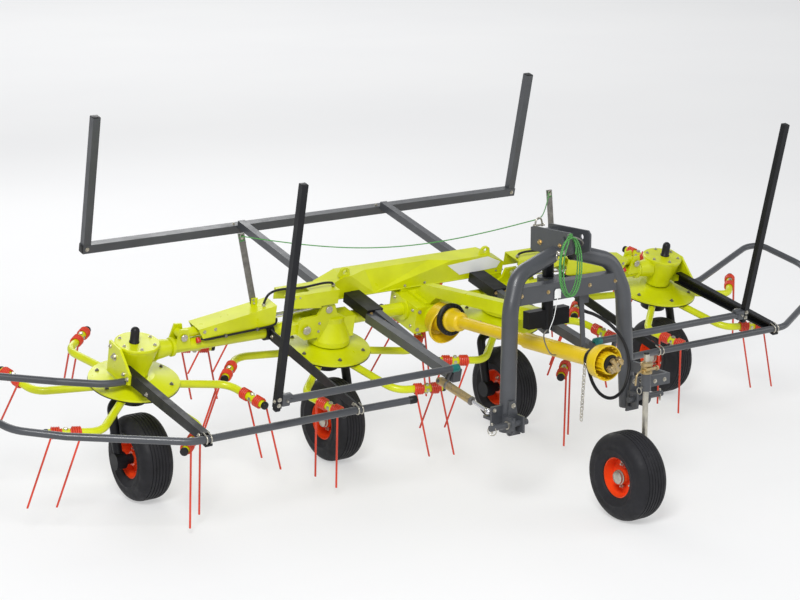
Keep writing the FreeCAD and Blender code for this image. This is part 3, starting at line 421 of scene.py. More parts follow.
# Pull cord: hung up in loose turns on the front of the top plates.
CORD = 0.006
TURNS = ((0.06, 0.141, -1.294), (0.05, 0.131, -1.303), (0.064, 0.144, -1.312), (0.054, 0.136, -1.321),
         (0.054, 0.136, -1.325))        # half width, half height and depth where a turn starts and ends
SHIFTS = (0.0, 0.01, -0.006, 0.007)    # how far each turn hangs to one side
POINTS_A_TURN = 14
bundle_line = []
for shift, start, end in zip(SHIFTS, TURNS, TURNS[1:]):
    for notch in range(POINTS_A_TURN):
        share = notch / POINTS_A_TURN
        wide, high, deep = Vector(start).lerp(Vector(end), share)
        x, z = wide * math.sin(2 * math.pi * share), high * math.cos(2 * math.pi * share)
        bundle_line.append(row(-0.085 + shift + x, deep, 1.15 + z))
bundle = wire("pull_cord_loops", bundle_line, CORD / 2, 3)
bundle.data.materials.append(cord_green)
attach(bundle, "headstock")
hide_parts("cord_bundle")
coupler = turning("hose_coupler", ((9, 0), (12.5, 2), (12.5, 16), (10, 18), (10, 30), (13, 32), (13, 50),
        (8, 52), (8, 62)), 24)
lay(coupler, row(0.104, -1.2, 0.722), (-0.1, 0.24, -0.46))
fit(coupler, "headstock", brass)


# spring tines ----------------------------------------------------
ARM_OUT, ARM_BEND, COILS_OUT, COILS_DOWN = 0.455, math.radians(62), 0.549, -0.047
COIL_START, COIL_LONG, COIL_APART, COIL_R, WIRE = 0.048, 0.056, 0.034, 0.0239, 0.0049
WINDINGS, PITCH, TINE_LONG = 4.2, 0.0102, 0.348
ARMS = 6


def tine(which):
    """One tine: closed coils along X round an arm's end, and a leg that hangs from the last."""
    bare()
    start = Vector((COIL_START, COIL_R, 0))
    bpy.ops.mesh.primitive_circle_add(vertices=8, radius=WIRE, location=start)
    piece = bpy.context.object
    piece.name = "tine"
    seat(piece)
    winding = piece.modifiers.new("winding", "SCREW")
    winding.axis, winding.angle = "X", math.radians(360 * WINDINGS)
    winding.screw_offset, winding.steps, winding.render_steps = -PITCH * WINDINGS, 62, 62
    bpy.ops.object.modifier_apply(modifier="winding")
    open_mesh("DESELECT")
    close_mesh()
    for vertex in piece.data.vertices:
        off = vertex.co - start
        vertex.select = off.length < WIRE * 1.02 and abs(off.z) < 1e-4
    open_mesh()
    bpy.ops.mesh.select_mode(type="VERT")
    lean_out, trail_on = math.tan(math.radians(10)), math.tan(math.radians(16)) * which
    leg = Vector((trail_on, lean_out, -1)).normalized() * TINE_LONG
    for share in (0.06, 0.5, 0.44):
        bpy.ops.mesh.extrude_region_move(TRANSFORM_OT_translate={"value": leg * share})
    bpy.ops.mesh.select_all(action="SELECT")
    bpy.ops.mesh.fill_holes(sides=0)
    bpy.ops.mesh.normals_make_consistent(inside=False)
    close_mesh()
    return piece


tine_pair = {which: tine(which) for which in (-1, 1)}
arm_plug = turning("arm_plug", ((13.5, -12), (13.5, 0), (18.5, 0), (19.2, 3), (19.2, 12), (17, 16.5),
        (8, 19)), 20)
tine_nut = turning("tine_nut", ((8.5, 0), (10.5, 2), (10.5, 9), (8.5, 11)), 6)
tine_plate = block("tine_plate", (-0.008, -0.0212, -0.0075), (0.008, 0.0212, 0.0075), 0.003)

reach = -ARM_OUT * math.cos(ARM_BEND) + math.sqrt(COILS_OUT ** 2 - (ARM_OUT * math.sin(ARM_BEND)) ** 2)
swing = math.degrees(math.asin(reach * math.sin(ARM_BEND) / COILS_OUT))
for number, (place, phase, trail) in enumerate(((-1.5, 30, -1), (-0.5, 0, 1), (0.5, 30, -1), (1.5, 0, 1)), 1):
    springs, plugs, nuts = [], [], []
    for count in range(ARMS):
        angle = math.radians(phase + 360 / ARMS * count - trail * swing)
        out = Vector((math.cos(angle), math.sin(angle), 0))
        along = Vector((math.cos(angle + ARM_BEND * trail), math.sin(angle + ARM_BEND * trail), 0))
        aside = Vector((along.y, -along.x, 0)) * trail
        middle = Vector((place * SPACING, 0, COILS_DOWN)) + out * ARM_OUT + along * reach
        for which in (-1, 1):
            axes = Matrix((along * which, aside, Vector((0, 0, 1)))).transposed().to_4x4()
            carry = leaning @ Matrix.Translation(middle + along * which * COIL_APART / 2) @ axes
            springs.append(again(tine_pair[which], "spring", carry))
        axes = Matrix((aside, along.cross(aside) * -1, along)).transposed().to_4x4()
        end = middle + along * (COIL_APART / 2 + COIL_LONG + 0.0065)
        plugs.append(again(arm_plug, "plug", leaning @ Matrix.Translation(end) @ axes))
        under = Matrix((along, aside, Vector((0, 0, 1)))).transposed().to_4x4()
        nuts.append(again(tine_plate, "plate", leaning @ Matrix.Translation(middle) @ under))
        for up in (-1, 1):
            spot = middle + Vector((0, 0, up * 0.021))
            nuts.append(again(tine_nut, "nut", leaning @ Matrix.Translation(spot - Vector((0, 0, 0.0055)))))
    set_of_tines = outward(weld("spring_tines_%d" % number, *springs))
    fit(set_of_tines, "rotor_%d" % number, tine_red_shaded, 40)
    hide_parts("tines_%d" % number)
    fit(outward(weld("arm_plugs_%d" % number, *plugs)), "rotor_%d" % number, black_cap)
    fit(outward(weld("tine_clamps_%d" % number, *nuts)), "rotor_%d" % number, zinc)
discard(*tine_pair.values(), arm_plug, tine_nut, tine_plate)


# tyres and rims --------------------------------------------------
TYRE_R, TYRE_HALF = 0.203, 0.0825
GROOVES, GROOVE_HALF, GROOVE_DEEP = (0.008, 0.024, 0.04), 0.002, 0.0045
SIDEWALL = ((0.012, 0.0015), (0.004, -0.0025), (0.006, -0.0005), (0.004, 0.0035), (0.02, 0.0065),
            (0.012, 0.0075))    # steps from shoulder to bead: how far in from the edge, and how deep


def ribbed_tyre():
    """A balloon tyre with its axle along X: round shoulders, stepped sidewalls, grooved tread."""
    bare()
    bpy.ops.mesh.primitive_cylinder_add(vertices=96, radius=TYRE_R, depth=2 * TYRE_HALF,
        rotation=(0, math.pi / 2, 0))
    piece = bpy.context.object
    piece.name = "tyre"
    seat(piece)
    ease(piece, 0.052, 9, 60)
    open_mesh()
    for side in (-1, 1):
        for inset, inward in SIDEWALL:
            bpy.ops.mesh.select_all(action="DESELECT")
            close_mesh()
            flat = [f for f in piece.data.polygons if f.normal.x * side > 0.99 and len(f.vertices) > 50]
            flat[0].select = True
            open_mesh()
            bpy.ops.mesh.select_mode(type="FACE")
            bpy.ops.mesh.inset(thickness=inset, depth=0)
            bpy.ops.transform.translate(value=(-side * inward, 0, 0))
    close_mesh()
    for face in piece.data.polygons:
        face.select = len(face.vertices) > 50
    open_mesh()
    bpy.ops.mesh.delete(type="ONLY_FACE")
    bpy.ops.mesh.select_all(action="DESELECT")
    bpy.ops.mesh.select_mode(type="EDGE")
    bpy.ops.mesh.select_non_manifold()
    bpy.ops.mesh.bridge_edge_loops()
    for at in [side * groove + edge for side in (-1, 1) for groove in GROOVES
            for edge in (-GROOVE_HALF, GROOVE_HALF)]:
        bpy.ops.mesh.select_all(action="SELECT")
        bpy.ops.mesh.bisect(plane_co=(at, 0, 0), plane_no=(1, 0, 0))
    close_mesh()
    for face in piece.data.polygons:
        far = math.hypot(face.center.y, face.center.z)
        face.select = far > 0.19 and any(abs(abs(face.center.x) - groove) < 0.001 for groove in GROOVES)
    open_mesh()
    bpy.ops.mesh.select_mode(type="FACE")
    bpy.ops.mesh.extrude_region_shrink_fatten(TRANSFORM_OT_shrink_fatten={"value": -GROOVE_DEEP})
    close_mesh()
    return ease(outward(piece), 0.0012, 1, 50)


def rim_parts():
    """What a dished rim carries: hub cap, wheel nuts and a tyre valve, with the axle along X."""
    cap = turning("cap", ((33.5, 0), (33.5, 4), (30, 6), (30, 16), (24, 20), (10, 21.5)), 28)
    parts = [again(cap, "cap", Matrix.Translation((-0.0455, 0, 0)) @ Matrix.Rotation(-math.pi / 2, 4, "Y"))]
    nut = turning("nut", ((10, 0), (11.5, 1.2), (11.5, 9.5), (8.8, 12.5), (5, 12.5), (5, 20)), 6)
    for count in range(5):
        angle = 2 * math.pi * count / 5
        for side, x in ((-1, -0.008), (1, 0.002)):
            spot = (x, 0.055 * math.cos(angle), 0.055 * math.sin(angle))
            parts.append(again(nut, "nut", Matrix.Translation(spot)
                    @ Matrix.Rotation(side * math.pi / 2, 4, "Y")))
    valve = turning("valve", ((4, 0), (4, 22), (5.2, 23), (5.2, 34), (3, 35)), 12)
    parts.append(again(valve, "valve", Matrix.Translation((-0.006, 0, 0.082))
            @ Matrix.Rotation(-1.9, 4, "Y")))
    discard(cap, nut, valve)
    return weld("rim_fittings", *parts)


new_tyre, new_fittings = ribbed_tyre(), rim_parts()
WHEELS = (("tyre_1", "wheel_1", math.pi), ("tyre_2", "wheel_2", 0), ("tyre_3", "wheel_3", math.pi),
          ("tyre_4", "wheel_4", 0), ("jockey_tyre", "jockey_wheel", 0))     # tyre, body and turn of its rim
for number, (name, body, turn) in enumerate(WHEELS, 1):
    low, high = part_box(name)
    centre = Matrix.Translation((low + high) / 2)
    made = again(new_tyre, "ribbed_tyre_%d" % number, centre)
    fit(made, body, tread, 40)
    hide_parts(name)
    nuts = again(new_fittings, "wheel_nuts_%d" % number, centre @ Matrix.Rotation(turn, 4, "Z"))
    fit(nuts, body, zinc)
discard(new_tyre, new_fittings)


# fittings: what they have in common ------------------------------
UP, BACK = leaning.to_3x3() @ Vector((0, 0, 1)), leaning.to_3x3() @ Vector((0, 1, 0))
FORE, LEFT = -BACK, Vector((1, 0, 0))
AHEAD, TOP = Vector((0, -1, 0)), Vector((0, 0, 1))


def spun(name, rings, place, axis, sides=28):
    """A turned piece laid at its place."""
    return lay(turning(name, rings, sides), place, axis)


def cut_plate(name, corners, run):
    """A flat piece cut to an outline, as thick as its run."""
    bare()
    bpy.ops.mesh.primitive_circle_add(vertices=len(corners), radius=1, fill_type="NGON")
    piece = bpy.context.object
    piece.name = name
    for vertex, corner in zip(piece.data.vertices, corners):
        vertex.co = corner
    open_mesh("SELECT")
    bpy.ops.mesh.extrude_region_move(TRANSFORM_OT_translate={"value": run})
    close_mesh()
    return outward(piece)


def leaned(piece):
    """Carry a piece drawn in the leaning frame to its place."""
    piece.data.transform(leaning)
    return piece


def ring(name, place, axis, wide, thick, sides=28):
    """A round wire ring."""
    bare()
    bpy.ops.mesh.primitive_torus_add(major_radius=wide, minor_radius=thick, major_segments=sides,
        minor_segments=8)
    piece = bpy.context.object
    piece.name = name
    return lay(piece, place, axis)


def dotted(name, model, spots, body, coat=zinc):
    """Bolts or pins as one piece: copies of a model at spots, each a place, the way out and a size."""
    parts = []
    for place, axis, size in spots:
        turn = TOP.rotation_difference(Vector(axis).normalized()).to_matrix().to_4x4()
        carry = Matrix.Translation(Vector(place)) @ turn @ Matrix.Diagonal((size, size, size, 1))
        parts.append(again(model, name, carry))
    return fit(weld(name, *parts), body, coat, 30)


def circled(model, number, place, axis):
    """Copies of a piece set round an axis, in place of the piece."""
    turns = [Matrix.Rotation(2 * math.pi * count / number, 4, "Z") for count in range(number)]
    copies = [lay(again(model, model.name, turn), place, axis) for turn in turns]
    discard(model)
    return copies


# Models about one metre in radius, which dotted() copies at each spot's own size.
hex_bolt = weld("hex_bolt",
        turning("head", ((1.05, 0), (1.05, 0.14), (0.86, 0.15), (0.86, 0.72), (0.72, 0.8)), 6, 1),
        turning("washer", ((1.25, 0), (1.25, 0.13), (0.9, 0.13)), 20, 1),
        turning("thread", ((0.48, 0.7), (0.48, 1.15), (0.36, 1.28)), 14, 1))
pin_head = turning("pin_head", ((1, 0), (1, 0.28), (0.9, 0.38), (0.5, 0.38), (0.46, 0.3)), 26, 1)
pipe_nut = weld("pipe_nut",
        turning("socket", ((0.7, -0.4), (0.7, 0), (0.85, 0.05), (0.85, 1.2), (0.75, 1.3)), 18, 1),
        turning("nut", ((1, 0.1), (1.15, 0.2), (1.15, 0.9), (1, 1)), 6, 1))

# rotors and gearboxes --------------------------------------------
for number in range(1, 5):
    middle = (number - 2.5) * SPACING
    spots = []
    for count in range(ARMS):
        angle = math.radians(360 / ARMS * count + 18)
        below = angle + 0.5
        spots.append((level(middle + 0.176 * math.cos(angle), 0.176 * math.sin(angle), 0.0085), UP, 0.0085))
        spots.append((level(middle + 0.082 * math.cos(below), 0.082 * math.sin(below), -0.032), -UP, 0.008))
    dotted("disc_bolts_%d" % number, hex_bolt, spots, "rotor_%d" % number, steel)
    skirt = spun("disc_skirt", ((196, -15.5), (212.5, -15.5), (213.5, -12), (213.5, -10.5)),
        level(middle, 0, 0), UP, 64)
    fit(skirt, "rotor_%d" % number, black)

for side, hand in HANDS:
    x = side * SPACING / 2
    around = [(level(x + 0.098 * math.cos(k * math.pi / 4 + 0.2), 0.098 * math.sin(k * math.pi / 4 + 0.2),
            0.058), UP, 0.0062) for k in range(8)]
    around += [(level(side * x, 0.066, 0.228), FORE, 0.0044) for x in (0.505, 0.545)]
    around += [(level(side * 0.625, -0.0493, w), FORE, 0.006) for w in (0.115, 0.158)]
    dotted("inner_box_bolts_" + hand, hex_bolt, around, "root")
    pins = [(level(side * FOLD_X, at * 0.058, TUBE_W), BACK * at, 0.0215) for at in (-1, 1)]
    pins += [(level(side * 0.58, at * 0.0493, 0.225), BACK * at, 0.0185) for at in (-1, 1)]
    dotted("fold_pins_" + hand, pin_head, pins, "root")
    seam = ring("weld_seam", level(side * (FOLD_X + 0.079), 0, TUBE_W), LEFT, 0.0335, 0.0028, 40)
    fit(seam, "wing_" + hand, lime)

    x = side * SPACING * 1.5
    wing = "wing_" + hand
    lip = spun("bowl_flange", ((98.5, 176), (104.5, 180), (104.5, 189.5), (101, 192.5), (60, 192.5)),
        level(x, 0, 0), UP, 56)
    fit(lip, wing, lime)
    spots = [(level(x + 0.083 * math.cos(k * math.pi / 3 + 0.3), 0.083 * math.sin(k * math.pi / 3 + 0.3),
            0.1925), UP, 0.0075) for k in range(6)]
    spots += [(level(side * SIDE_PLATE_X, v, w), LEFT * side, size) for v, w, size in (
        (-0.002, 0.135, 0.0145), (0.044, 0.168, 0.0085), (-0.098, 0.092, 0.009), (-0.136, 0.084, 0.009))]
    dotted("outer_box_bolts_" + hand, hex_bolt, spots, wing)
    stub = spun("filler_stub", ((24, 0), (24, 6), (21, 8), (21, 58), (18.5, 68), (12, 75), (5, 78)),
        level(side * 1.6, 0, 0.1915), UP)
    fit(stub, wing, black_cap, 60)
    collar = spun("neck_collar", ((41, 0), (45, 2), (45, 16), (41, 18)), level(side * 1.414, 0, TUBE_W),
        LEFT * -side, 36)
    fit(collar, wing, lime)
    pins = [(level(side * CYLINDER_X, at * 0.044, 0.197), BACK * at, 0.0175) for at in (-1, 1)]
    dotted("cylinder_pins_" + hand, pin_head, pins, wing)

gear_bolts = [(level(x, -0.12, w), FORE, 0.0085) for x in (-0.087, 0.087) for w in (0.072, 0.168)]
gear_bolts += [(level(side * 0.105, v, w), LEFT * side, 0.007) for side in (-1, 1)
               for v, w in ((-0.085, 0.08), (-0.085, 0.165), (0.075, 0.08), (0.075, 0.165))]
gear_bolts.append((level(0.078, -0.03, 0.19), UP, 0.012))
dotted("gearbox_bolts", hex_bolt, gear_bolts, "root")
for side, hand in HANDS:
    clamp = spun("tube_flange", ((44, 0), (58, 1), (58, 11), (44, 13)), level(side * 0.105, 0, TUBE_W),
        LEFT * side, 40)
    fit(clamp, "root", lime)

# beam ------------------------------------------------------------
panel = cut_plate("white_panel", [level(x, 0.0655, w) for x, w in (
    (0.188, 0.3), (0.272, 0.237), (0.505, 0.246), (0.524, 0.278), (0.438, 0.317))], FORE * 0.0012)
fit(ease(panel, 0.0005, 1), "root", white)
fold_line = [level(x, 0.0655, w) for x, w in ((-0.54, 0.2115), (-0.2, 0.2115), (0.2, 0.2115), (0.54, 0.2115))]
hem = weld("beam_hem", meshed(wire("hem", fold_line, 0.0028, fine=2)))
fit(hem, "root", lime)
spots = [(level(x, 0.066, 0.224), FORE, 0.0062) for x in (-0.36, -0.06, 0.06, 0.36)]
spots += [(level(side * STAY_X + x, 0.1803, w), BACK, 0.0078) for side in (-1, 1) for x in (-0.029, 0.029)
          for w in (0.188, 0.252)]
dotted("beam_bolts", hex_bolt, spots, "root")

# rear frame ------------------------------------------------------
for side, hand in HANDS:
    x = side * UPRIGHT_X
    end = leaned(block("bar_cap", (side * 1.3495, 1.029, 0.149), (side * 1.3535, 1.071, 0.191), 0.0015))
    tip = leaned(block("upright_cap", (x - 0.0195, 1.0305, 0.868), (x + 0.0195, 1.0695, 0.873), 0.0018))
    fit(weld("rear_caps_" + hand, end, tip), "root", black_cap)
rear_bolts = [(level(side * UPRIGHT_X, at, 0.17), axis, 0.0085) for side in (-1, 1)
              for at, axis in ((1.0725, BACK), (1.0275, FORE))]
rear_bolts += [(level(side * STAY_X + x, 1.05, 0.1925), UP, 0.0072) for side in (-1, 1)
    for x in (-0.03, 0.03)]
dotted("rear_bolts", hex_bolt, rear_bolts, "root")
for side, hand in HANDS:
    around = [level(side * UPRIGHT_X + a * 0.021, 1.05 + b * 0.021, 0.1945)
              for a, b in ((-1, -1), (1, -1), (1, 1), (-1, 1), (-1, -1))]
    under = [level(side * STAY_X + a * 0.021, 1.0275, w)
             for a, w in ((-1, 0.181), (-1, 0.191), (1, 0.191), (1, 0.181))]
    seams = [meshed(wire("seam", line, 0.0028, fine=1)) for line in (around, under)]
    fit(weld("rear_seams_" + hand, *seams), "root", grey, 60)

# front guard -----------------------------------------------------
for side, hand in HANDS:
    spots = [(level(side * POST_X, -0.885, w), FORE, 0.008) for w in (0.272, 0.3)]
    spots.append((level(side * (POST_X + 0.015), -0.87, 0.288), LEFT * side, 0.007))
    dotted("post_bolts_" + hand, hex_bolt, spots, "root")
    saddle = leaned(block("post_clamp", (side * 1.311, -0.889, 0.264), (side * 1.3505, -0.851, 0.3085),
            0.004, 3))
    strap = leaned(block("post_strap", (side * 1.296, -0.887, 0.2995), (side * 1.3505, -0.853, 0.3125),
            0.003))
    fit(weld("post_clamps_" + hand, saddle, strap), "root", grey)
    foot = leaned(block("post_foot", (side * 1.3515, -0.8845, 0.2395), (side * 1.3805, -0.8555, 0.258),
            0.007, 4))
    fit(foot, "root", black)
    cap = leaned(block("post_cap", (side * 1.3505, -0.8855, 1.2975), (side * 1.3815, -0.8545, 1.303), 0.002))
    fit(cap, "root", black_cap)
    clip = ring("ring", level(side * 1.33, -0.842, 0.292), BACK + UP * 0.3, 0.019, 0.0018)
    pin = spun("pin", ((4.5, 0), (4.5, 62), (3, 64)), level(side * 1.33, -0.9, 0.292), BACK, 12)
    fit(weld("spring_clip_" + hand, clip, pin), "root", zinc)
    end = spun("guard_end_cap", ((17.4, -34), (18.7, -32), (18.7, 3), (16.5, 7), (8, 9)),
        level(side * 0.406, -0.868, 0.284), LEFT * -side)
    fit(end, "root", teal_cap, 50)
    loop_end = level(side * 0.628, -0.88, 0.168)
    cap = spun("loop_end_cap", ((17.4, -30), (18.7, -28), (18.7, 2), (16.5, 6), (8, 7.5)), loop_end,
        loop_end - level(side * 0.85, -0.819, 0.131))
    fit(cap, "wing_" + hand, black_cap, 50)
    bows = []
    for x in (side * 1.666 - 0.011, side * 1.666 + 0.011, side * BRACKET_X - 0.011, side * BRACKET_X + 0.011):
        bow = [level(x, -0.819 - 0.0205 * math.sin(turn), 0.131 + 0.0205 * math.cos(turn))
               for turn in (0.3, 0.9, 1.57, 2.2, 2.8)]
        bow = [level(x, -0.795, 0.152), *bow, level(x, -0.795, 0.11)]
        bows.append(meshed(wire("bow", bow, 0.0036, fine=4)))
    fit(weld("guard_bows_" + hand, *bows), "wing_" + hand, zinc, 60)
    spots = [(level(side * BRACKET_X + x, 0, 0.1785), UP, 0.0065) for x in (-0.011, 0.011)]
    spots += [(level(side * (BRACKET_X + 0.005), v, w), LEFT * side, 0.0075)
              for v, w in ((-0.06, TUBE_W), (-0.78, 0.14))]
    spots += [(level(side * 1.6837, v, w), LEFT * side, 0.008) for v, w in ((-0.3, 0.088), (-0.775, 0.131))]
    dotted("guard_bolts_" + hand, hex_bolt, spots, "wing_" + hand)
    arm_bolts = [(level(side * 0.388, v, w), LEFT * -side, 0.0085)
        for v, w in ((-0.46, 0.225), (-0.25, 0.222))]
    arm_bolts += [(level(side * x, -0.156, 0.225), FORE, 0.0078) for x in (0.345, 0.405)]
    dotted("arm_bolts_" + hand, hex_bolt, arm_bolts, "root", brass)

# lift cylinders --------------------------------------------------
for side, hand in HANDS:
    barrel = "lift_barrel_" + hand
    spots = [(level(side * x, -0.05, w), FORE, 0.0068) for x, w in ((1.262, 0.214), (1.205, 0.219))]
    dotted("cover_bolts_" + hand, hex_bolt, spots, barrel)
    port = spun("port_cap", ((7.5, 0), (10.5, 1), (10.5, 12), (12.5, 12.5), (12.5, 22), (9, 24.5)),
        level(side * 1.286, -0.03, 0.178), FORE * 0.6 - UP * 0.5, 22)
    fit(port, barrel, red_cap, 50)
    line = [level(side * x, v, w) for x, v, w in (
        (1.27, -0.036, 0.172), (1.252, -0.053, 0.173), (1.2, -0.0565, 0.178), (1.08, -0.0565, 0.183),
        (0.96, -0.0565, 0.188), (0.9, -0.0565, 0.191), (0.87, -0.052, 0.2), (0.862, -0.03, 0.212))]
    bent("cover_pipe", line, 0.0055, barrel, hose_black, 3)
    clips = [leaned(block("clip", (x - 0.007, -0.064, w - 0.0075), (x + 0.007, -0.0485, w + 0.0075), 0.0025))
             for x, w in ((side * 1.15, 0.18), (side * 0.98, 0.187))]
    fit(weld("pipe_clips_" + hand, *clips), barrel, steel)
    elbows = [(level(side * 0.938, -0.024, 0.289), UP, 0.0085),
        (level(side * 0.556, -0.024, 0.346), -UP, 0.0085)]
    dotted("lift_hose_nuts_" + hand, pipe_nut, elbows, "lift_rod_" + hand)
    spots = [(level(side * x, at * 0.06, 0.318), BACK * at, 0.0042) for x in (0.76, 0.79) for at in (-1, 1)]
    dotted("hood_bolts_" + hand, hex_bolt, spots, "lift_rod_" + hand)

# lock levers -----------------------------------------------------
# By hand: the body it stands on, and x and w of its foot and its top. The right one stands on its
# cover, the left one on its hood.
LEVERS = {"right": ("lift_barrel_right", -0.97, 0.283, -1.081, 0.662),
          "left": ("lift_rod_left", 0.815, 0.331, 0.725, 0.669)}
for hand, (body, x0, w0, x1, w1) in LEVERS.items():
    lean = (x1 - x0) / (w1 - w0)
    holes = [(x0 + lean * rise, w0 + rise) for rise in (0.008, 0.026)]
    spots = [(level(x, 0.0087, w), FORE, 0.0052) for x, w in holes]
    spots += [(level(x, 0.021, w), BACK, 0.0052) for x, w in holes]
    dotted("lever_bolts_" + hand, hex_bolt, spots, body)
    fork = cut_plate("lever_fork", [level(x0 + lean * rise + across, 0.0215, w0 + rise) for rise, across in (
        (0.004, -0.011), (0.004, 0.011), (0.058, 0.014), (0.104, 0.004), (0.104, -0.004), (0.058, -0.014))],
        BACK * 0.0035)
    fit(ease(fork, 0.001, 1), body, zinc)
    top = level(x1 - lean * 0.01, 0.012, w1 - 0.01)
    eye = ring("ring", top, BACK, 0.0085, 0.0024, 22)
    rivet = spun("rivet", ((7.5, 0), (7.5, 3), (5, 4.5)),
        level(x1 - lean * 0.024, 0.015, w1 - 0.024), FORE, 16)
    fit(weld("lever_eye_" + hand, eye, rivet), body, zinc)
    wrap = [level(x1 + lean * (turn * 0.0035 - 0.05) + 0.0185 * math.cos(turn * 1.26),
                  0.018 + 0.0055 * math.sin(turn * 1.26), w1 - 0.05 + turn * 0.0035) for turn in range(14)]
    bent("lever_wrap_" + hand, wrap, 0.0026, body, cord_green, fine=4)

# headstock -------------------------------------------------------
spots = [(row(side * 0.055, y, z), LEFT * side, size) for side in (-1, 1)
         for y, z, size in ((-1.058, 1.213, 0.0105), (-1.2, 1.222, 0.008))]
spots += [(row(side * x, -1.206, 1.018), AHEAD, 0.0078) for side in (-1, 1) for x in (0.12, 0.27)]
dotted("top_plate_bolts", hex_bolt, spots, "headstock", brass)
shackle_line = [row(x, -1.0, z) for x, z in ((-0.039, 1.262), (-0.039, 1.288), (-0.033, 1.306),
        (-0.019, 1.312), (-0.005, 1.306), (0.001, 1.288), (0.001, 1.27))]
bow = meshed(wire("bow", shackle_line, 0.0042, 3))
pin = spun("pin", ((7.5, 0), (7.5, 6), (4.8, 7), (4.8, 56), (7, 58)), row(-0.047, -1.0, 1.277), LEFT, 16)
fit(weld("cord_shackle", bow, pin), "headstock", zinc, 50)
pin = spun("pin", ((13, 0), (13, 7), (10.5, 10), (10.5, 34), (7, 38)),
    row(-0.055, -1.231, 1.197), -LEFT, 24)
pull = ring("ring", row(-0.087, -1.231, 1.182), LEFT * 0.4 + AHEAD, 0.016, 0.002, 26)
fit(weld("link_pin", pin, pull), "headstock", zinc, 40)
hook = [row(x, y, z) for x, y, z in ((0, -1.283, 1.232), (0, -1.3, 1.24), (-0.02, -1.312, 1.262),
        (-0.052, -1.31, 1.278), (-0.085, -1.308, 1.284), (-0.098, -1.31, 1.296))]
bent("cord_hook", hook, 0.0045, "headstock", steel, 3)
knot = []
for k in range(4):
    turn = [row(-0.085 + 0.011 * math.cos(a + k), -1.309 + 0.009 * math.sin(a + k),
                1.283 + 0.0035 * k + 0.004 * math.sin(2 * a))
            for a in (0, 0.8, 1.6, 2.4, 3.2, 4.0, 4.8, 5.6, 6.4)]
    knot.append(meshed(wire("turn", turn, 0.0031, fine=4)))
tail = meshed(wire("tail", [row(-0.076, -1.314, 1.285), row(-0.062, -1.318, 1.268),
        row(-0.055, -1.319, 1.236), row(-0.059, -1.318, 1.205)], 0.003))
fit(weld("cord_knot", *knot, tail), "headstock", cord_green, 60)

tag = cut_plate("tag", [row(x, -1.2105, z) for x, z in ((-0.088, 0.984), (-0.052, 0.983), (-0.0515, 1.018),
        (-0.058, 1.027), (-0.08, 1.028), (-0.0875, 1.019))], AHEAD * 0.0012)
fit(tag, "headstock", white)
string = [row(x, y, z) for x, y, z in ((-0.07, -1.2115, 0.986), (-0.079, -1.212, 0.95),
        (-0.086, -1.211, 0.907), (-0.1, -1.212, 0.874), (-0.117, -1.212, 0.842))]
hanger = [row(x, y, z) for x, y, z in (
    (-0.117, -1.2, 0.842), (-0.132, -1.2, 0.834), (-0.139, -1.2, 0.818), (-0.131, -1.197, 0.79),
    (-0.112, -1.192, 0.755), (-0.09, -1.186, 0.726), (-0.07, -1.182, 0.712), (-0.05, -1.18, 0.71))]
bent("tag_string", string, 0.0018, "headstock", white)
bent("shaft_hanger", hanger, 0.0032, "headstock", steel)

for side, hand in HANDS:
    spots = [(row(side * 0.352, -1.262, z), AHEAD, 0.0095) for z in (0.446, 0.54)]
    spots += [(row(side * 0.427, -1.222, z), AHEAD, 0.008) for z in (0.446, 0.52)]
    dotted("foot_bolts_" + hand, hex_bolt, spots, "headstock")
    linch = ring("ring", row(side * 0.489, -1.287, 0.452), LEFT * side * 0.8 + AHEAD * 0.5, 0.02, 0.0024, 26)
    stem = spun("peg", ((4.8, 0), (4.8, 46), (3, 48)), row(side * 0.489, -1.287, 0.442), TOP, 12)
    collar = spun("collar", ((14.2, 0), (19, 1), (19, 7), (14.2, 8)),
        row(side * 0.402, -1.287, 0.465), LEFT * side)
    fit(weld("linch_pins_" + hand, linch, stem, collar), "headstock", zinc, 50)
    seam = ring("arch_seam_" + hand, row(side * 0.0595, -1.15, 1.173), (1, -0.08, -0.31), 0.0385, 0.003, 40)
    fit(seam, "headstock", grey, 60)
    root, foot = row(side * 0.485, -0.89, 0.59), row(side * 0.42, -1.17, 0.5)
    line = foot - root
    gland = spun("gland_nut", ((19.3, 0), (21, 2), (21, 11.5), (16.5, 15), (10.5, 15.5)),
        root + line * 0.622, line, 26)
    base = spun("barrel_collar", ((19.3, 0), (21.5, 2), (21.5, 10), (19.3, 12)),
        root + line * 0.12, line, 26)
    fit(weld("damper_nuts_" + hand, gland, base), "damper_barrel_" + hand, steel)
    nut = spun("eye_nut", ((10.5, 0), (12.5, 1), (12.5, 5), (10.5, 6)),
        foot - line.normalized() * 0.0222, line, 6)
    fit(nut, "damper_rod_" + hand, zinc)

# parking wheel ---------------------------------------------------
spots = [(row(x, -1.508, 0.613), AHEAD, 0.008) for x in (0.262, 0.318)]
dotted("guide_bolts", hex_bolt, spots, "headstock")
collar = spun("guide_collar", ((13.5, 0), (27, 1), (27, 14), (24, 17), (24, 34), (28, 37), (28, 50), (22, 54),
        (13.5, 55)), row(0.215, -1.5, 0.6555), TOP, 30)
grip = meshed(wire("grip", [row(0.19, -1.505, 0.672), row(0.172, -1.512, 0.674), row(0.15, -1.516, 0.668),
        row(0.14, -1.518, 0.65), row(0.137, -1.518, 0.615)], 0.0045, 3))
clamp_bolt = spun("clamp_bolt", ((7.5, 0), (7.5, 62), (12, 63), (12, 71), (9, 72)),
    row(0.184, -1.529, 0.682), LEFT, 12)
fit(weld("guide_clamp", collar, grip, clamp_bolt), "headstock", brass, 50)
peg = spun("peg", ((5, 0), (5, 66), (3, 69)), row(0.18, -1.5, 0.592), LEFT, 14)
pull = ring("ring", row(0.176, -1.5, 0.579), LEFT, 0.0145, 0.002, 26)
fit(weld("pole_peg", peg, pull), "headstock", zinc, 50)
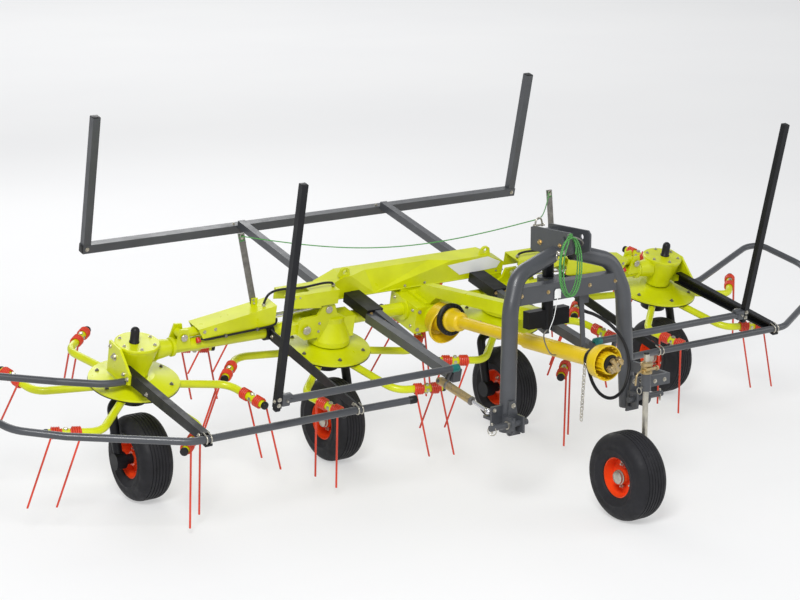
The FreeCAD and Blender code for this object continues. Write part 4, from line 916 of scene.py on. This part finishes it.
cap = spun("pole_cap", ((6, -1), (12.6, 0), (12.7, 5), (11.5, 7.5), (5, 8.6)),
    row(0.215, -1.5, 0.745), TOP, 26)
fit(cap, "jockey_pole", black_cap, 50)
dotted("axle_bolts", hex_bolt, [(row(0.235, -1.513, z), LEFT, 0.008) for z in (0.192, 0.216)], "jockey_pole")

# drive shaft -----------------------------------------------------
shaft_root, shaft_end = row(0, -0.204, 0.68), row(0, -1.488, 0.733)
shaft = (shaft_end - shaft_root).normalized()
front_at, yoke_at = shaft_root.lerp(shaft_end, 0.54), shaft_root.lerp(shaft_end, 0.977)
ring_at = shaft_root + shaft * 0.082
bowl = spun("shaft_bowl", ((60, 0), (74, 2), (78, 20), (91, 62), (99, 70), (101, 86), (98.5, 89), (94, 88),
        (92.5, 74), (85, 66), (76, 30), (50, 12)), level(0, -0.1505, 0.14), FORE, 72)
fit(bowl, "root", yellow, 40)
teeth = [spun("bearing_ring", ((58, 0), (79, 0.5), (80, 4), (80, 20), (76, 23), (62, 23), (58, 16)), ring_at,
        shaft, 60)]
tooth = block("tooth", (0.0615, -0.0026, 0.021), (0.0775, 0.0026, 0.0265), 0.001, 1)
teeth += circled(tooth, 24, ring_at, shaft)
fit(weld("toothed_ring", *teeth), "pto_rear", black_cap)
neck = spun("shaft_neck", ((58, 0), (58.5, 12), (52, 20), (47.5, 26), (47.5, 72), (44, 78), (31, 84),
        (29.5, 98)), shaft_root + shaft * 0.1, shaft, 56)
fit(neck, "pto_rear", yellow, 40)
sleeve = spun("outer_guard", ((29.5, 0), (37.2, 0), (37.2, 445), (41, 450), (41, 470), (38.5, 474),
        (38.5, 503), (54, 509), (67, 520), (75.2, 533), (77.5, 542), (77.5, 580), (81, 582), (81, 589),
        (75.5, 590), (73.5, 548), (62, 530), (48, 516), (30, 510), (21.5, 508)), front_at, shaft, 64)
fit(sleeve, "pto_front", yellow, 30)
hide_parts("pto_front_guard")
rib = block("rib", (0.0672, -0.0014, 0.538), (0.0745, 0.0014, 0.584), 0.0006, 1)
ribs = circled(rib, 18, front_at, shaft)
rib = block("rib", (0.044, -0.0022, 0.548), (0.0505, 0.0022, 0.606), 0.0009, 1)
ribs += circled(rib, 15, front_at, shaft)
ribs.append(spun("inner_bell", ((30, 520), (40, 524), (44.5, 540), (45.5, 602), (48.5, 604), (48.5, 610),
        (42, 611), (40.5, 560), (30, 540)), front_at, shaft, 48))
fit(weld("bell_ribs", *ribs), "pto_front", yellow)
dark = spun("bell_ring", ((39.2, 478), (50, 480), (52, 486), (52, 497), (49, 502.5), (39.2, 503)), front_at,
    shaft, 48)
inner = spun("yoke_collar", ((21.5, 570), (37.5, 571), (38.5, 575), (38.5, 624), (36, 630), (21.5, 631)),
    front_at, shaft, 40)
fit(weld("bell_rings", dark, inner), "pto_front", black_cap)
YOKE_TURN = 0.6
yoke = [spun("yoke_body", ((20, -20), (33, -18), (36, -6), (36, 22), (31, 30), (22, 34)), yoke_at, shaft,
        32)]
for half in (0, math.pi):
    ear = block("ear", (0.017, -0.019, 0.02), (0.0345, 0.019, 0.098), 0.0075, 3)
    boss = spun("boss", ((17, 0), (18.5, 1), (18.5, 5), (13.5, 6), (13.5, 3)),
        (0.0335, 0, 0.078), (1, 0, 0), 24)
    for piece in (ear, boss):
        piece.data.transform(Matrix.Rotation(YOKE_TURN + half, 4, "Z"))
        yoke.append(lay(piece, yoke_at, shaft))
for quarter in (0, math.pi / 2):
    arm = turning("cross", ((12.5, 0), (12.5, 64), (9, 66)), 20)
    across = Matrix.Translation((-0.032, 0, 0.078)) @ Matrix.Rotation(math.pi / 2, 4, "Y")
    arm.data.transform(Matrix.Rotation(YOKE_TURN + quarter, 4, "Z") @ across)
    yoke.append(lay(arm, yoke_at, shaft))
joint = fit(outward(weld("shaft_yoke", *yoke)), "pto_yoke", brass)
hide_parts("pto_yoke")
sleeve_end = spun("yoke_sleeve", ((34.5, 0), (38.5, 1), (39.5, 4), (39.5, 13), (37, 16), (34.5, 16.5)),
    yoke_at + shaft * 0.004, shaft, 40)
fit(sleeve_end, "pto_yoke", black_cap)
link = ring("link", (0, 0, 0), LEFT, 0.0078, 0.0019, 14)
for vertex in link.data.vertices:
    vertex.co.z += math.copysign(0.0036, vertex.co.z)
top, low = row(-0.061, -1.4, 0.712), row(-0.075, -1.4, 0.467)
LINKS = 17
links = []
for count in range(LINKS):
    turn = Matrix.Rotation(math.pi / 2 * (count % 2), 4, "Z")
    links.append(again(link, "link", Matrix.Translation(top.lerp(low, count / (LINKS - 1))) @ turn))
discard(link)
fit(weld("guard_chain", *links), "pto_front", zinc, 60)

# Pull cords: rigging from the shackle to the lock levers, with a little sag.
for side, hand, slack in ((-1, "right", 0.087), (1, "left", 0.045)):
    _, _, _, x1, w1 = LEVERS[hand]
    high, far = row(-0.019, -1.0, 1.306), level(x1, 0.012, w1 - 0.012)
    sag = Vector((0, 0, slack * abs(x1)))
    stretch = [high.lerp(far, t) - sag * math.sin(math.pi * t)
               for t in (0, 0.02, 0.15, 0.3, 0.45, 0.6, 0.75, 0.9, 0.98, 1)]
    strand = weld("pull_cord_" + hand, meshed(wire("strand", stretch, 0.0026)))
    strand.data.materials.append(cord_green)
    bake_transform(strand)
discard(hex_bolt, pin_head, pipe_nut)


# floor and light -------------------------------------------------
bare()
bpy.ops.mesh.primitive_plane_add(size=240)
floor = bpy.context.object
floor.name = "floor"
studio, tree, shader, place = finish("studio_floor", (0.43, 0.43, 0.43), 0.8)
vary(tree, shader, place, "Base Color", 0.4, 2, (0.3, (0.42, 0.42, 0.425)), (0.7, (0.44, 0.44, 0.44)))
shader.inputs["Emission Color"].default_value = (1.0, 1.0, 1.0, 1)
shader.inputs["Emission Strength"].default_value = 0.46
floor.data.materials.append(studio)
bpy.context.scene.view_settings.view_transform = "Standard"
sky = bpy.data.worlds.new("studio")
sky.use_nodes = True
glow = sky.node_tree.nodes["Background"]
glow.inputs["Color"].default_value = (0.95, 0.97, 1.0, 1)
glow.inputs["Strength"].default_value = 0.45
bpy.context.scene.world = sky
for name, place, towards, size, power in (
        ("key", (-5.0, -5.5, 6.5), (0.2, 0.2, 0.7), 2.8, 620),
        ("fill", (6.5, -4.5, 4.0), (0.3, -0.5, 0.6), 4.5, 110),
        ("back", (1.0, 6.5, 5.0), (0.0, 0.5, 0.6), 5.0, 170),
        ("far", (6.0, 17.0, 9.0), (6.0, 17.5, 0.0), 14.0, 800)):
    bpy.ops.object.light_add(type="AREA", location=place)
    lamp = bpy.context.object
    lamp.name = name
    lamp.rotation_euler = (Vector(towards) - Vector(place)).to_track_quat("-Z", "Y").to_euler()
    lamp.data.size, lamp.data.energy = size, power
